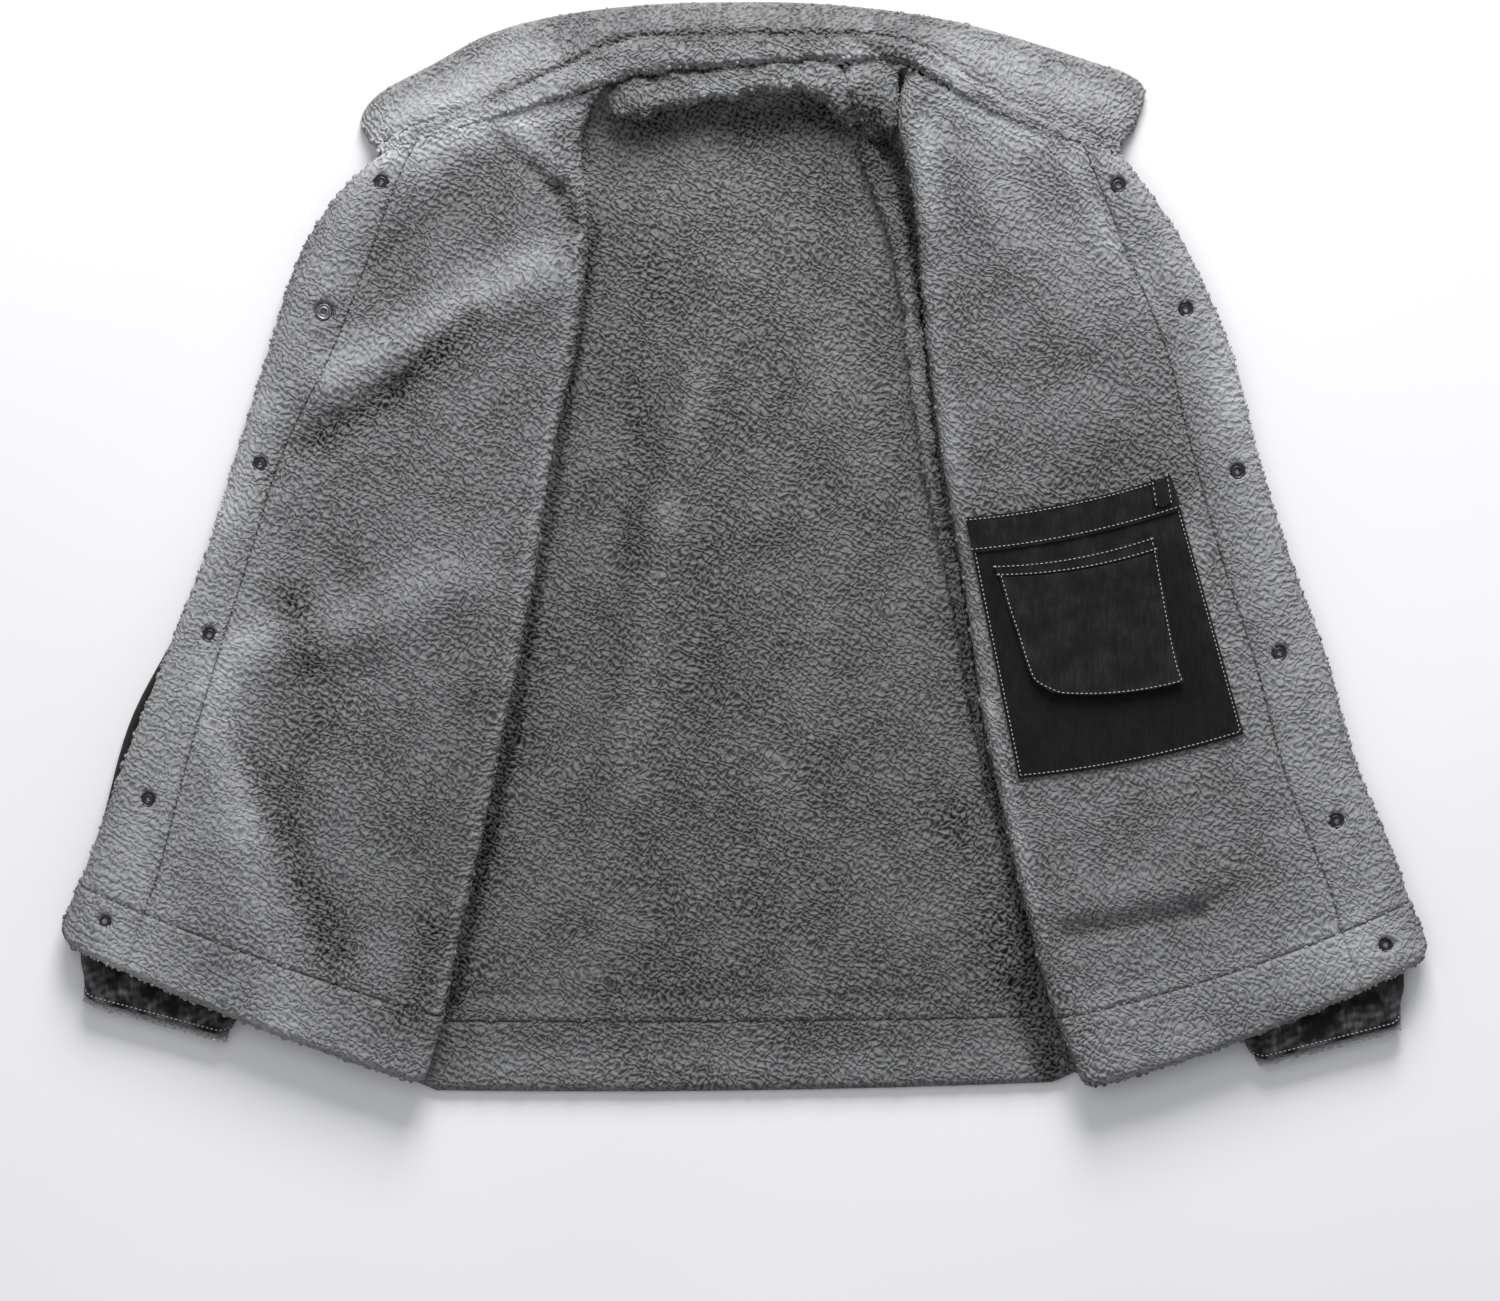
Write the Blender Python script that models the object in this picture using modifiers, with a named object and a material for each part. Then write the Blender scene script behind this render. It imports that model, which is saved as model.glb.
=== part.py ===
"""A sherpa-lined denim jacket laid open on its back, with the lining up.

The back lies flat. Each front is folded inward at the side seam, turned over
and laid outward across the sleeve, so its section is a J with a round edge on
the back lining. The collar lies open above the neck behind a soft roll.
Metres, +Z up, +X across the jacket, +Y from hem to collar, floor at z = 0.
"""

import math
from collections import namedtuple

import bmesh
import bpy
from mathutils import Matrix, Vector
from mathutils.bvhtree import BVHTree

# ---------------------------------------------------------------- cloth sizes
DENIM = 0.0015
PILE = 0.0070
SEAM_GAP = 0.0003
LAY_GAP = 0.0004
WALL = DENIM + SEAM_GAP + PILE
PILE_ROUND = 0.0042
PILE_SHOULDER = 0.0012
SEAM_DIP = 0.0014
SEAM_REACH = 0.005
WELD_REACH = 1e-7

# ---------------------------------------------------------------- layer levels
BACK_TOP = WALL
ON_BACK = BACK_TOP + LAY_GAP
FRONT_TOP = 0.0305
FOLD_RADIUS = (FRONT_TOP - ON_BACK) / 2
EDGE_REACH = 0.025
EDGE_FIRST = 0.018
EDGE_SECOND = 0.0085
EDGE_THIRD = 0.003
UNDERLAY_INSET = 0.003
UNDERLAY_LEAST = FOLD_RADIUS + 0.006

# ---------------------------------------------------------------- grid counts
UNDER_STEPS = 2
ARC_STEPS = 4
MAIN_STEPS = 6
FACING_STEPS = 2
RING_ARC_STEPS = 4
ROLL_SIDES = 12
BACK_COLUMNS = 12
COLLAR_COLUMNS = 26

# ---------------------------------------------------------------- front panels
FrontRow = namedtuple("FrontRow", "t fold_x fold_y edge_x edge_y bow facing drop")

FRONT_ROWS = {
    "left": [
        FrontRow(0.000, -0.226, -0.387, -0.490, -0.283, -0.006, 0.050, 0.010),
        FrontRow(0.070, -0.215, -0.338, -0.477, -0.243, -0.005, 0.050, 0.009),
        FrontRow(0.125, -0.208, -0.298, -0.466, -0.213, -0.004, 0.050, 0.005),
        FrontRow(0.250, -0.188, -0.209, -0.440, -0.142, 0.000, 0.043, 0.002),
        FrontRow(0.375, -0.170, -0.120, -0.412, -0.072, 0.000, 0.036, 0.003),
        FrontRow(0.500, -0.152, -0.031, -0.385, -0.001, 0.000, 0.032, 0.009),
        FrontRow(0.625, -0.139, 0.058, -0.364, 0.069, 0.000, 0.034, 0.012),
        FrontRow(0.750, -0.119, 0.147, -0.342, 0.140, 0.000, 0.048, 0.012),
        FrontRow(0.875, -0.113, 0.236, -0.319, 0.210, 0.000, 0.054, 0.012),
        FrontRow(0.950, -0.117, 0.290, -0.288, 0.257, 0.000, 0.042, 0.011),
        FrontRow(1.000, -0.106, 0.324, -0.260, 0.281, 0.000, 0.027, 0.009),
    ],
    "right": [
        FrontRow(0.000, 0.240, -0.390, 0.490, -0.295, -0.008, 0.052, 0.010),
        FrontRow(0.070, 0.223, -0.339, 0.477, -0.255, -0.008, 0.052, 0.010),
        FrontRow(0.125, 0.211, -0.298, 0.467, -0.223, -0.006, 0.052, 0.011),
        FrontRow(0.250, 0.189, -0.207, 0.438, -0.152, -0.002, 0.052, 0.012),
        FrontRow(0.375, 0.170, -0.116, 0.418, -0.080, 0.000, 0.052, 0.012),
        FrontRow(0.500, 0.157, -0.024, 0.392, -0.008, 0.000, 0.050, 0.012),
        FrontRow(0.625, 0.141, 0.067, 0.369, 0.064, 0.000, 0.048, 0.012),
        FrontRow(0.750, 0.129, 0.159, 0.351, 0.136, 0.000, 0.050, 0.012),
        FrontRow(0.875, 0.121, 0.250, 0.321, 0.207, 0.000, 0.052, 0.012),
        FrontRow(0.950, 0.110, 0.305, 0.294, 0.250, -0.004, 0.042, 0.011),
        FrontRow(1.000, 0.116, 0.341, 0.270, 0.279, -0.009, 0.030, 0.009),
    ],
}

HEM_BAND = 0.070
HEM_SEAM = 0.0002
BAND_EDGE = 0.005
BAND_ROWS = [0.0, BAND_EDGE, 0.016, 0.040, 0.063]
FRONT_MAIN_ROWS = [0.077, 0.110, 0.165, 0.230, 0.300, 0.375, 0.445, 0.515, 0.585,
                   0.650, 0.715, 0.775, 0.830, 0.890, 0.945, 0.995, 1.0]

Crease = namedtuple("Crease", "x0 y0 x1 y1 reach lift")

FRONT_CREASES = {
    "left": [
        Crease(-0.146, 0.189, -0.295, 0.115, 0.022, 0.0042),
        Crease(-0.201, 0.158, -0.287, 0.100, 0.013, -0.0028),
        Crease(-0.287, 0.100, -0.334, 0.056, 0.012, -0.0022),
        Crease(-0.175, 0.276, -0.270, 0.202, 0.015, -0.0028),
        Crease(-0.208, -0.028, -0.270, -0.063, 0.020, 0.0030),
        Crease(-0.270, -0.063, -0.359, -0.078, 0.020, 0.0024),
        Crease(-0.372, -0.125, -0.335, -0.200, 0.016, -0.0026),
        Crease(-0.318, -0.225, -0.290, -0.340, 0.019, -0.0058),
        Crease(-0.175, 0.297, -0.134, 0.257, 0.008, -0.0026),
        Crease(-0.134, 0.257, -0.122, 0.227, 0.008, -0.0018),
    ],
    "right": [
        Crease(0.247, 0.125, 0.276, 0.100, 0.011, -0.0024),
        Crease(0.148, 0.278, 0.227, 0.156, 0.020, 0.0026),
        Crease(0.133, 0.305, 0.160, 0.289, 0.011, -0.0028),
        Crease(0.292, -0.278, 0.330, -0.256, 0.016, -0.0044),
        Crease(0.240, -0.248, 0.330, -0.226, 0.015, 0.0028),
        Crease(0.322, -0.335, 0.318, -0.290, 0.020, -0.0034),
        Crease(0.226, 0.090, 0.318, 0.118, 0.018, 0.0016),
    ],
}

# ---------------------------------------------------------------- back panel
BackRow = namedtuple("BackRow", "y left_x right_x")

BACK_ROWS = [
    BackRow(-0.3865, -0.268, 0.270),
    BackRow(-0.3385, -0.266, 0.268),
    BackRow(-0.200, -0.261, 0.262),
    BackRow(-0.130, -0.257, 0.258),
    BackRow(-0.060, -0.250, 0.251),
    BackRow(0.005, -0.237, 0.238),
    BackRow(0.060, -0.218, 0.219),
    BackRow(0.130, -0.200, 0.201),
    BackRow(0.200, -0.196, 0.197),
    BackRow(0.255, -0.214, 0.215),
    BackRow(0.300, -0.150, 0.160),
    BackRow(0.330, -0.104, 0.120),
    BackRow(0.347, -0.085, 0.106),
]

BACK_BAND_YS = [-0.3865, -0.3840, -0.3780, -0.3600, -0.3430, -0.33865]
BACK_MAIN_YS = [-0.33835, -0.3335, -0.3240, -0.3120, -0.280, -0.240, -0.200, -0.130,
                -0.060, 0.005, 0.060, 0.130, 0.200, 0.255, 0.300, 0.330, 0.347]
BACK_SHELL_YS = [-0.3845, -0.200, -0.130, -0.060, 0.005, 0.060, 0.130, 0.200, 0.255,
                 0.300, 0.330, 0.3465]
BACK_SHELL_STEP = 3
HEM_FADE = 0.12
HEM_TILT = 0.0036
HEM_BOW = -0.0045
HEM_CORNER_X = 0.222
HEM_CORNER_RISE = 0.42

BACK_CREASES = [
    Crease(-0.031, 0.123, -0.055, 0.018, 0.016, 0.0014),
    Crease(-0.055, 0.018, -0.086, -0.173, 0.018, 0.0016),
    Crease(0.157, -0.307, 0.189, -0.285, 0.009, -0.0018),
    Crease(-0.217, -0.324, 0.120, -0.324, 0.006, -0.0014),
]

# ---------------------------------------------------------------- sleeves, cuffs
SLEEVE_THICK = 0.0170
CUFF_THICK = 0.0185
CUFF_DENIM = 0.0022
LINING_SLIT = 0.0012
LINING_FRINGE = 0.005

SleeveRow = namedtuple("SleeveRow", "inner_x inner_y outer_x outer_y")

SLEEVE_ROWS = {
    "left": [
        SleeveRow(-0.2145, 0.255, -0.274, 0.246),
        SleeveRow(-0.1965, 0.200, -0.303, 0.200),
        SleeveRow(-0.2005, 0.130, -0.333, 0.138),
        SleeveRow(-0.2185, 0.060, -0.355, 0.068),
        SleeveRow(-0.2375, 0.005, -0.379, -0.002),
        SleeveRow(-0.262, -0.060, -0.405, -0.056),
        SleeveRow(-0.292, -0.130, -0.440, -0.122),
        SleeveRow(-0.330, -0.200, -0.459, -0.188),
        SleeveRow(-0.346, -0.258, -0.471, -0.238),
        SleeveRow(-0.350, -0.291, -0.473, -0.261),
    ],
    "right": [
        SleeveRow(0.2155, 0.255, 0.276, 0.246),
        SleeveRow(0.1975, 0.200, 0.308, 0.198),
        SleeveRow(0.2015, 0.130, 0.339, 0.132),
        SleeveRow(0.2195, 0.060, 0.360, 0.060),
        SleeveRow(0.2385, 0.005, 0.380, -0.008),
        SleeveRow(0.264, -0.060, 0.404, -0.070),
        SleeveRow(0.292, -0.130, 0.427, -0.140),
        SleeveRow(0.322, -0.205, 0.449, -0.206),
        SleeveRow(0.340, -0.270, 0.467, -0.258),
        SleeveRow(0.344, -0.314, 0.471, -0.283),
    ],
}

CUFF_ROWS = {
    "left": [
        SleeveRow(-0.349, -0.2935, -0.475, -0.2630),
        SleeveRow(-0.359, -0.3240, -0.477, -0.2960),
        SleeveRow(-0.370, -0.3520, -0.477, -0.3230),
    ],
    "right": [
        SleeveRow(0.343, -0.3165, 0.473, -0.2850),
        SleeveRow(0.354, -0.3440, 0.474, -0.3160),
        SleeveRow(0.366, -0.3700, 0.474, -0.3420),
    ],
}

# ---------------------------------------------------------------- collar and neck
CollarRow = namedtuple("CollarRow", "neck_x neck_y outer_x outer_y roll_width roll_top")

COLLAR_ROWS = [
    CollarRow(-0.262, 0.2815, -0.270, 0.291, 0.006, 0.017),
    CollarRow(-0.252, 0.2845, -0.276, 0.307, 0.008, 0.022),
    CollarRow(-0.238, 0.2885, -0.263, 0.326, 0.010, 0.027),
    CollarRow(-0.205, 0.2980, -0.225, 0.347, 0.012, 0.031),
    CollarRow(-0.168, 0.3085, -0.181, 0.370, 0.015, 0.034),
    CollarRow(-0.125, 0.3215, -0.130, 0.383, 0.020, 0.036),
    CollarRow(-0.080, 0.3365, -0.070, 0.390, 0.025, 0.037),
    CollarRow(-0.020, 0.3420, -0.010, 0.392, 0.023, 0.037),
    CollarRow(0.035, 0.3465, 0.050, 0.391, 0.019, 0.036),
    CollarRow(0.085, 0.3475, 0.110, 0.385, 0.017, 0.036),
    CollarRow(0.122, 0.3425, 0.160, 0.376, 0.015, 0.035),
    CollarRow(0.165, 0.3170, 0.210, 0.362, 0.012, 0.034),
    CollarRow(0.205, 0.2985, 0.250, 0.349, 0.010, 0.031),
    CollarRow(0.240, 0.2880, 0.276, 0.340, 0.009, 0.026),
    CollarRow(0.256, 0.2845, 0.288, 0.327, 0.008, 0.021),
    CollarRow(0.268, 0.2820, 0.280, 0.299, 0.006, 0.016),
]

CollarColumn = namedtuple("CollarColumn", "fraction from_edge lift round_off")

COLLAR_COLUMNS_ACROSS = [
    CollarColumn(0.00, 0.000, 0.0125, 0.0010),
    CollarColumn(0.22, 0.000, 0.0130, 0.0),
    CollarColumn(0.48, 0.000, 0.0085, 0.0),
    CollarColumn(0.74, 0.000, 0.0030, 0.0),
    CollarColumn(1.00, 0.008, 0.0, 0.0),
    CollarColumn(1.00, 0.0025, 0.0, 0.0015),
    CollarColumn(1.00, 0.000, 0.0, PILE_ROUND),
]

COLLAR_EDGE_SHARE = 0.2
HIGHEST_ROLL = max(row.roll_top for row in COLLAR_ROWS)

COLLAR_CREASES = [
    Crease(-0.250, 0.302, -0.209, 0.316, 0.010, 0.0024),
    Crease(-0.222, 0.322, -0.205, 0.345, 0.012, -0.0016),
    Crease(-0.150, 0.345, -0.140, 0.368, 0.016, 0.0020),
    Crease(0.190, 0.330, 0.232, 0.340, 0.014, -0.0018),
    Crease(0.060, 0.372, 0.120, 0.370, 0.014, 0.0014),
]

ROLL_SQUARENESS = 0.8
ROLL_FLAT = 0.93

RollRow = namedtuple("RollRow", "x y width height")

NECK_FACING_ROWS = [
    RollRow(-0.0960, 0.3160, 0.008, 0.008),
    RollRow(-0.0900, 0.3170, 0.016, 0.014),
    RollRow(-0.0740, 0.3205, 0.026, 0.018),
    RollRow(-0.0480, 0.3265, 0.022, 0.020),
    RollRow(-0.0100, 0.3320, 0.018, 0.021),
    RollRow(0.0250, 0.3370, 0.016, 0.021),
    RollRow(0.0500, 0.3355, 0.018, 0.021),
    RollRow(0.0670, 0.3240, 0.018, 0.019),
    RollRow(0.0750, 0.3110, 0.013, 0.013),
    RollRow(0.0780, 0.3040, 0.006, 0.007),
]

SHOULDER_ROLL_ROWS = [
    RollRow(0.0900, 0.3400, 0.008, 0.014),
    RollRow(0.0925, 0.3330, 0.015, 0.022),
    RollRow(0.0960, 0.3180, 0.018, 0.024),
    RollRow(0.0985, 0.3020, 0.013, 0.018),
    RollRow(0.1000, 0.2920, 0.006, 0.009),
]

SIDE_RIDGE_ROWS = [
    RollRow(0.0850, 0.2920, 0.006, 0.006),
    RollRow(0.0900, 0.2820, 0.012, 0.009),
    RollRow(0.0990, 0.2600, 0.014, 0.010),
    RollRow(0.1100, 0.2250, 0.013, 0.010),
    RollRow(0.1190, 0.1780, 0.012, 0.010),
    RollRow(0.1265, 0.1090, 0.012, 0.009),
    RollRow(0.1365, 0.0400, 0.010, 0.008),
    RollRow(0.1490, -0.0150, 0.008, 0.006),
    RollRow(0.1575, -0.0600, 0.006, 0.005),
    RollRow(0.1680, -0.1300, 0.005, 0.004),
    RollRow(0.1795, -0.1900, 0.003, 0.002),
]

# ---------------------------------------------------------------- inner pocket
POCKET_LIFT = 0.0008
POCKET_BOW = -0.0045
BAND_THICK = 0.0012
BAND_SHARES = [0.0, 0.07, 0.135]
PATCH_SHARES = BAND_SHARES + [0.25, 0.37, 0.49, 0.61, 0.73, 0.86, 1.0]
PATCH_COLUMNS = 10
WELT_COLUMNS = 9
TAB_COLUMNS = 2
PROBE_HEIGHT = 0.2

Quad = namedtuple("Quad", "left_x left_y right_x right_y")

PATCH_TOP = Quad(0.158, 0.0205, 0.305, 0.051)
PATCH_BOTTOM = Quad(0.196, -0.166, 0.357, -0.134)
TAB_TOP = Quad(0.2895, 0.0500, 0.3035, 0.0530)
TAB_BOTTOM = Quad(0.2925, 0.0310, 0.3065, 0.0340)
TAB_PROBES = [(0.291, 0.040), (0.296, 0.032), (0.304, 0.035), (0.303, 0.046)]
WELT_TOP = Quad(0.178, -0.0135, 0.291, 0.0070)
WELT_BOTTOM = Quad(0.1815, -0.0212, 0.2945, -0.0030)
FLAP_ROWS = [
    Quad(0.1820, -0.0219, 0.2950, -0.0037),
    Quad(0.1880, -0.0430, 0.2990, -0.0270),
    Quad(0.1950, -0.0640, 0.3030, -0.0500),
    Quad(0.2010, -0.0830, 0.3070, -0.0710),
    Quad(0.2070, -0.0960, 0.3105, -0.0860),
    Quad(0.2200, -0.1050, 0.3140, -0.0970),
]
FLAP_PROUD = 0.0022

# ---------------------------------------------------------------- snaps
SNAP_RADIUS = 0.0060
SNAP_HOLE = 0.0021
SNAP_THICK = 0.0016
SNAP_SIDES = 10
WELL_RADIUS = 0.0078
WELL_DEPTH = 0.0042
WELL_HEAD = 0.0060
WELL_SIDES = 12
SNAP_INNER_SLOPE = 0.0005
SNAP_OUTER_SLOPE = 0.0009
SNAP_MERGE = 1e-5
SnapPlace = namedtuple("SnapPlace", "x y")

SNAP_PLACES = {
    "left": [
        SnapPlace(-0.260, 0.261), SnapPlace(-0.301, 0.168), SnapPlace(-0.347, 0.059),
        SnapPlace(-0.383, -0.063), SnapPlace(-0.427, -0.181), SnapPlace(-0.458, -0.268),
    ],
    "right": [
        SnapPlace(0.268, 0.259), SnapPlace(0.316, 0.170), SnapPlace(0.353, 0.054),
        SnapPlace(0.383, -0.076), SnapPlace(0.424, -0.196), SnapPlace(0.459, -0.285),
    ],
}

# ---------------------------------------------------------------- finishes
FINISHES = {
    "sherpa_front": ((0.30, 0.31, 0.32), 0.95, 0.0),
    "sherpa_back": ((0.20, 0.205, 0.21), 0.95, 0.0),
    "denim": ((0.020, 0.021, 0.024), 0.85, 0.0),
    "snap_metal": ((0.16, 0.16, 0.16), 0.35, 1.0),
}


def clear_scene():
    """Remove whatever the file starts with."""
    for item in list(bpy.data.objects):
        bpy.data.objects.remove(item, do_unlink=True)


def new_material(name):
    """A Principled material with the finish's colour, roughness and metallic value."""
    colour, roughness, metallic = FINISHES[name]
    material = bpy.data.materials.new(name)
    material.use_nodes = True
    shader = material.node_tree.nodes["Principled BSDF"]
    shader.inputs["Base Color"].default_value = (*colour, 1.0)
    shader.inputs["Roughness"].default_value = roughness
    shader.inputs["Metallic"].default_value = metallic
    return material


def add_object(name, mesh, collection, material):
    """Put a mesh in the jacket's collection as one named object."""
    item = bpy.data.objects.new(name, mesh)
    if not mesh.materials:
        mesh.materials.append(material)
    collection.objects.link(item)
    return item


def spline(rows, key, place):
    """A Catmull-Rom reading of the table at place, with key as its running column."""
    keys = [getattr(row, key) for row in rows]
    step = 0
    while step < len(rows) - 2 and place > keys[step + 1]:
        step += 1
    share = (place - keys[step]) / (keys[step + 1] - keys[step])
    values = []
    for column in range(len(rows[0])):
        near = rows[step][column]
        far = rows[step + 1][column]
        before = rows[step - 1][column] if step > 0 else 2 * near - far
        after = rows[step + 2][column] if step < len(rows) - 2 else 2 * far - near
        values.append(0.5 * (2 * near + (far - before) * share
                             + (2 * before - 5 * near + 4 * far - after) * share ** 2
                             + (3 * near - before - 3 * far + after) * share ** 3))
    return type(rows[0])(*values)


def straight(rows, key, place):
    """A straight-line reading of the table at place."""
    keys = [getattr(row, key) for row in rows]
    step = 0
    while step < len(rows) - 2 and place > keys[step + 1]:
        step += 1
    share = (place - keys[step]) / (keys[step + 1] - keys[step])
    return type(rows[0])(*(near + (far - near) * share
                           for near, far in zip(rows[step], rows[step + 1])))


def crease_lift(creases, x, y):
    """How far soft ridges and troughs raise or lower the cloth at a point."""
    lift = 0.0
    for crease in creases:
        along_x = crease.x1 - crease.x0
        along_y = crease.y1 - crease.y0
        length = along_x ** 2 + along_y ** 2
        share = ((x - crease.x0) * along_x + (y - crease.y0) * along_y) / length
        share = min(max(share, 0.0), 1.0)
        aside = math.hypot(x - crease.x0 - share * along_x, y - crease.y0 - share * along_y)
        lift += crease.lift * math.exp(-(aside / crease.reach) ** 2)
    return lift


def mesh_from_grid(name, points, close_ring=False, close_loop=False, cap_ends=False):
    """A mesh over rows of points, closed round each row, along the rows or by caps."""
    rows = [list(row) + ([row[0]] if close_ring else []) for row in points]
    if close_loop:
        rows.append(rows[0])
    build = bmesh.new()
    bmesh.ops.create_grid(build, x_segments=len(rows[0]) - 1, y_segments=len(rows) - 1)
    flat = [point for row in rows for point in row]
    for vert, point in zip(build.verts, flat):
        vert.co = point
    bmesh.ops.remove_doubles(build, verts=build.verts, dist=WELD_REACH)
    if cap_ends:
        bmesh.ops.holes_fill(build, edges=build.edges, sides=0)
    bmesh.ops.recalc_face_normals(build, faces=build.faces)
    mesh = bpy.data.meshes.new(name)
    build.to_mesh(mesh)
    build.free()
    mesh.shade_smooth()
    return mesh


def wall_mesh(name, upper, lower):
    """A closed wall between two like grids of points, upper and lower."""
    build = bmesh.new()
    order = build.verts.layers.int.new("order")
    bmesh.ops.create_grid(build, x_segments=len(upper[0]) - 1, y_segments=len(upper) - 1)
    for number, vert in enumerate(build.verts):
        vert[order] = number
    raised = bmesh.ops.extrude_face_region(build, geom=build.faces[:])
    raised_verts = {item for item in raised["geom"] if isinstance(item, bmesh.types.BMVert)}
    upper_points = [point for row in upper for point in row]
    lower_points = [point for row in lower for point in row]
    for vert in build.verts:
        source = upper_points if vert in raised_verts else lower_points
        vert.co = source[vert[order]]
    bmesh.ops.recalc_face_normals(build, faces=build.faces)
    mesh = bpy.data.meshes.new(name)
    build.to_mesh(mesh)
    build.free()
    mesh.shade_smooth()
    return mesh


# ---------------------------------------------------------------- fronts
FrontColumn = namedtuple("FrontColumn", "zone place dip")


def front_columns(zone):
    """The columns across a front: its underlay, fold, main panel or facing."""
    main = [FrontColumn("under", 1.0 - step / UNDER_STEPS, 0.0) for step in range(UNDER_STEPS)]
    main += [FrontColumn("arc", step / ARC_STEPS, 0.0) for step in range(ARC_STEPS)]
    main += [FrontColumn("main", step / MAIN_STEPS, 0.0) for step in range(MAIN_STEPS + 1)]
    seam = [FrontColumn("seam", -1.0, SEAM_DIP)]
    facing = [FrontColumn("seam", 1.0, SEAM_DIP)]
    facing += [FrontColumn("facing", step / FACING_STEPS, 0.0) for step in range(FACING_STEPS + 1)]
    edge = [FrontColumn("edge", EDGE_SECOND, 0.0), FrontColumn("edge", EDGE_THIRD, PILE_SHOULDER),
            FrontColumn("edge", 0.0, PILE_ROUND)]
    if zone == "main":
        return main + seam
    if zone == "facing":
        return facing + edge
    if zone == "shell":
        return main + facing + edge[:-1]
    return main + facing[1:] + edge


def underlay_width(side, fold, outward):
    """How far the front's hidden layer runs from the fold to the back's side seam."""
    width = 0.0
    for _ in range(3):
        y = min(max(fold.y + outward.y * width, BACK_ROWS[0].y), BACK_ROWS[-1].y)
        back_row = straight(BACK_ROWS, "y", y)
        side_x = back_row.left_x if side == "left" else back_row.right_x
        width = max((abs(side_x - fold.x) - UNDERLAY_INSET) / abs(outward.x), UNDERLAY_LEAST)
    return width


def front_point(side, t, column, depth):
    """A point of a front at row t, at a depth under its pile surface."""
    row = spline(FRONT_ROWS[side], "t", t)
    fold = Vector((row.fold_x, row.fold_y, 0.0))
    edge = Vector((row.edge_x, row.edge_y, 0.0))
    width = (edge - fold).length
    outward = (edge - fold) / width
    underlay = underlay_width(side, fold, outward)
    seam_at = width - row.facing
    angle = math.pi / 2
    if column.zone == "under":
        along = FOLD_RADIUS + (underlay - FOLD_RADIUS) * column.place
        angle = -math.pi / 2
    elif column.zone == "arc":
        angle = math.pi * (column.place - 0.5)
        along = FOLD_RADIUS - (FOLD_RADIUS - depth) * math.cos(angle)
    elif column.zone == "main":
        along = FOLD_RADIUS + (seam_at - SEAM_REACH - FOLD_RADIUS) * column.place
    elif column.zone == "seam":
        along = seam_at + column.place * SEAM_GAP / 2
    elif column.zone == "facing":
        start = seam_at + SEAM_REACH
        along = start + (width - EDGE_FIRST - start) * column.place
    else:
        along = width - column.place
    share = along / width
    spot = fold + outward * along
    spot.y += row.bow * 4 * share * (1 - share)
    height = ON_BACK + FOLD_RADIUS + (FOLD_RADIUS - depth) * math.sin(angle)
    if column.zone in ("under", "arc"):
        fade = (1 + math.sin(angle)) / 2
    else:
        fade = 1.0
        from_edge = max(width - along, 0.0)
        height -= row.drop * max(1 - from_edge / EDGE_REACH, 0.0) ** 2
    spot.z = height + fade * crease_lift(FRONT_CREASES[side], spot.x, spot.y)
    return spot


def front_dip(t, column, rows_dip, depth):
    """The pile's rounding at a seam or an edge, which only its surface takes."""
    return max(column.dip, rows_dip.get(t, 0.0)) if depth == 0.0 else 0.0


def front_wall(name, side, zone, ts, depths, rows_dip):
    """One layer of a front between two depths, over the given rows and columns."""
    columns = front_columns(zone)
    grids = []
    for depth in depths:
        grid = []
        for t in ts:
            line = []
            for column in columns:
                sunk = front_dip(t, column, rows_dip, depth)
                flat = column.zone not in ("under", "arc")
                point = front_point(side, t, column, depth if flat else depth + sunk)
                if flat:
                    point.z -= sunk
                line.append(point)
            grid.append(line)
        grids.append(grid)
    return wall_mesh(name, grids[0], grids[1])


def make_front(side, collection, materials):
    """Lining, facing and hem band over one denim shell."""
    band_end = HEM_BAND - HEM_SEAM
    main_start = HEM_BAND + HEM_SEAM
    band = BAND_ROWS + [band_end]
    main = [main_start] + FRONT_MAIN_ROWS
    band_dips = {0.0: PILE_ROUND, BAND_EDGE: PILE_SHOULDER, band_end: SEAM_DIP}
    main_dips = {main_start: SEAM_DIP, 1.0: PILE_ROUND / 2}
    pile = (0.0, PILE)
    parts = [
        ("front_lining_" + side, "main", main, main_dips),
        ("front_facing_" + side, "facing", main, main_dips),
        ("front_hem_lining_" + side, "band", band, band_dips),
    ]
    made = []
    for name, zone, ts, dips in parts:
        mesh = front_wall(name, side, zone, ts, pile, dips)
        made.append(add_object(name, mesh, collection, materials["sherpa_front"]))
    shell_depths = (PILE + SEAM_GAP, WALL)
    shell_ts = BAND_ROWS[1:] + [HEM_BAND] + FRONT_MAIN_ROWS[:-1]
    name = "front_shell_" + side
    mesh = front_wall(name, side, "shell", shell_ts, shell_depths, {})
    add_object(name, mesh, collection, materials["denim"])
    return made


# ---------------------------------------------------------------- back
def back_line(y, level, dip):
    """A row of points across the back at a height; only its pile surface has a dip."""
    row = straight(BACK_ROWS, "y", y)
    left = row.left_x
    right = row.right_x
    hem_share = max(0.0, 1 - (y - BACK_ROWS[0].y) / HEM_FADE)
    line = []
    for column in range(BACK_COLUMNS + 1):
        share = column / BACK_COLUMNS
        x = left + (right - left) * share
        bend = HEM_TILT * (share - 0.5) * 2 + HEM_BOW * 4 * share * (1 - share)
        corner = max(abs(x) - HEM_CORNER_X, 0.0) * HEM_CORNER_RISE
        y_here = y + hem_share * (bend + corner)
        lift = crease_lift(BACK_CREASES, x, y_here) if dip is not None else 0.0
        line.append(Vector((x, y_here, level + lift - (dip or 0.0))))
    return line


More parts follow.
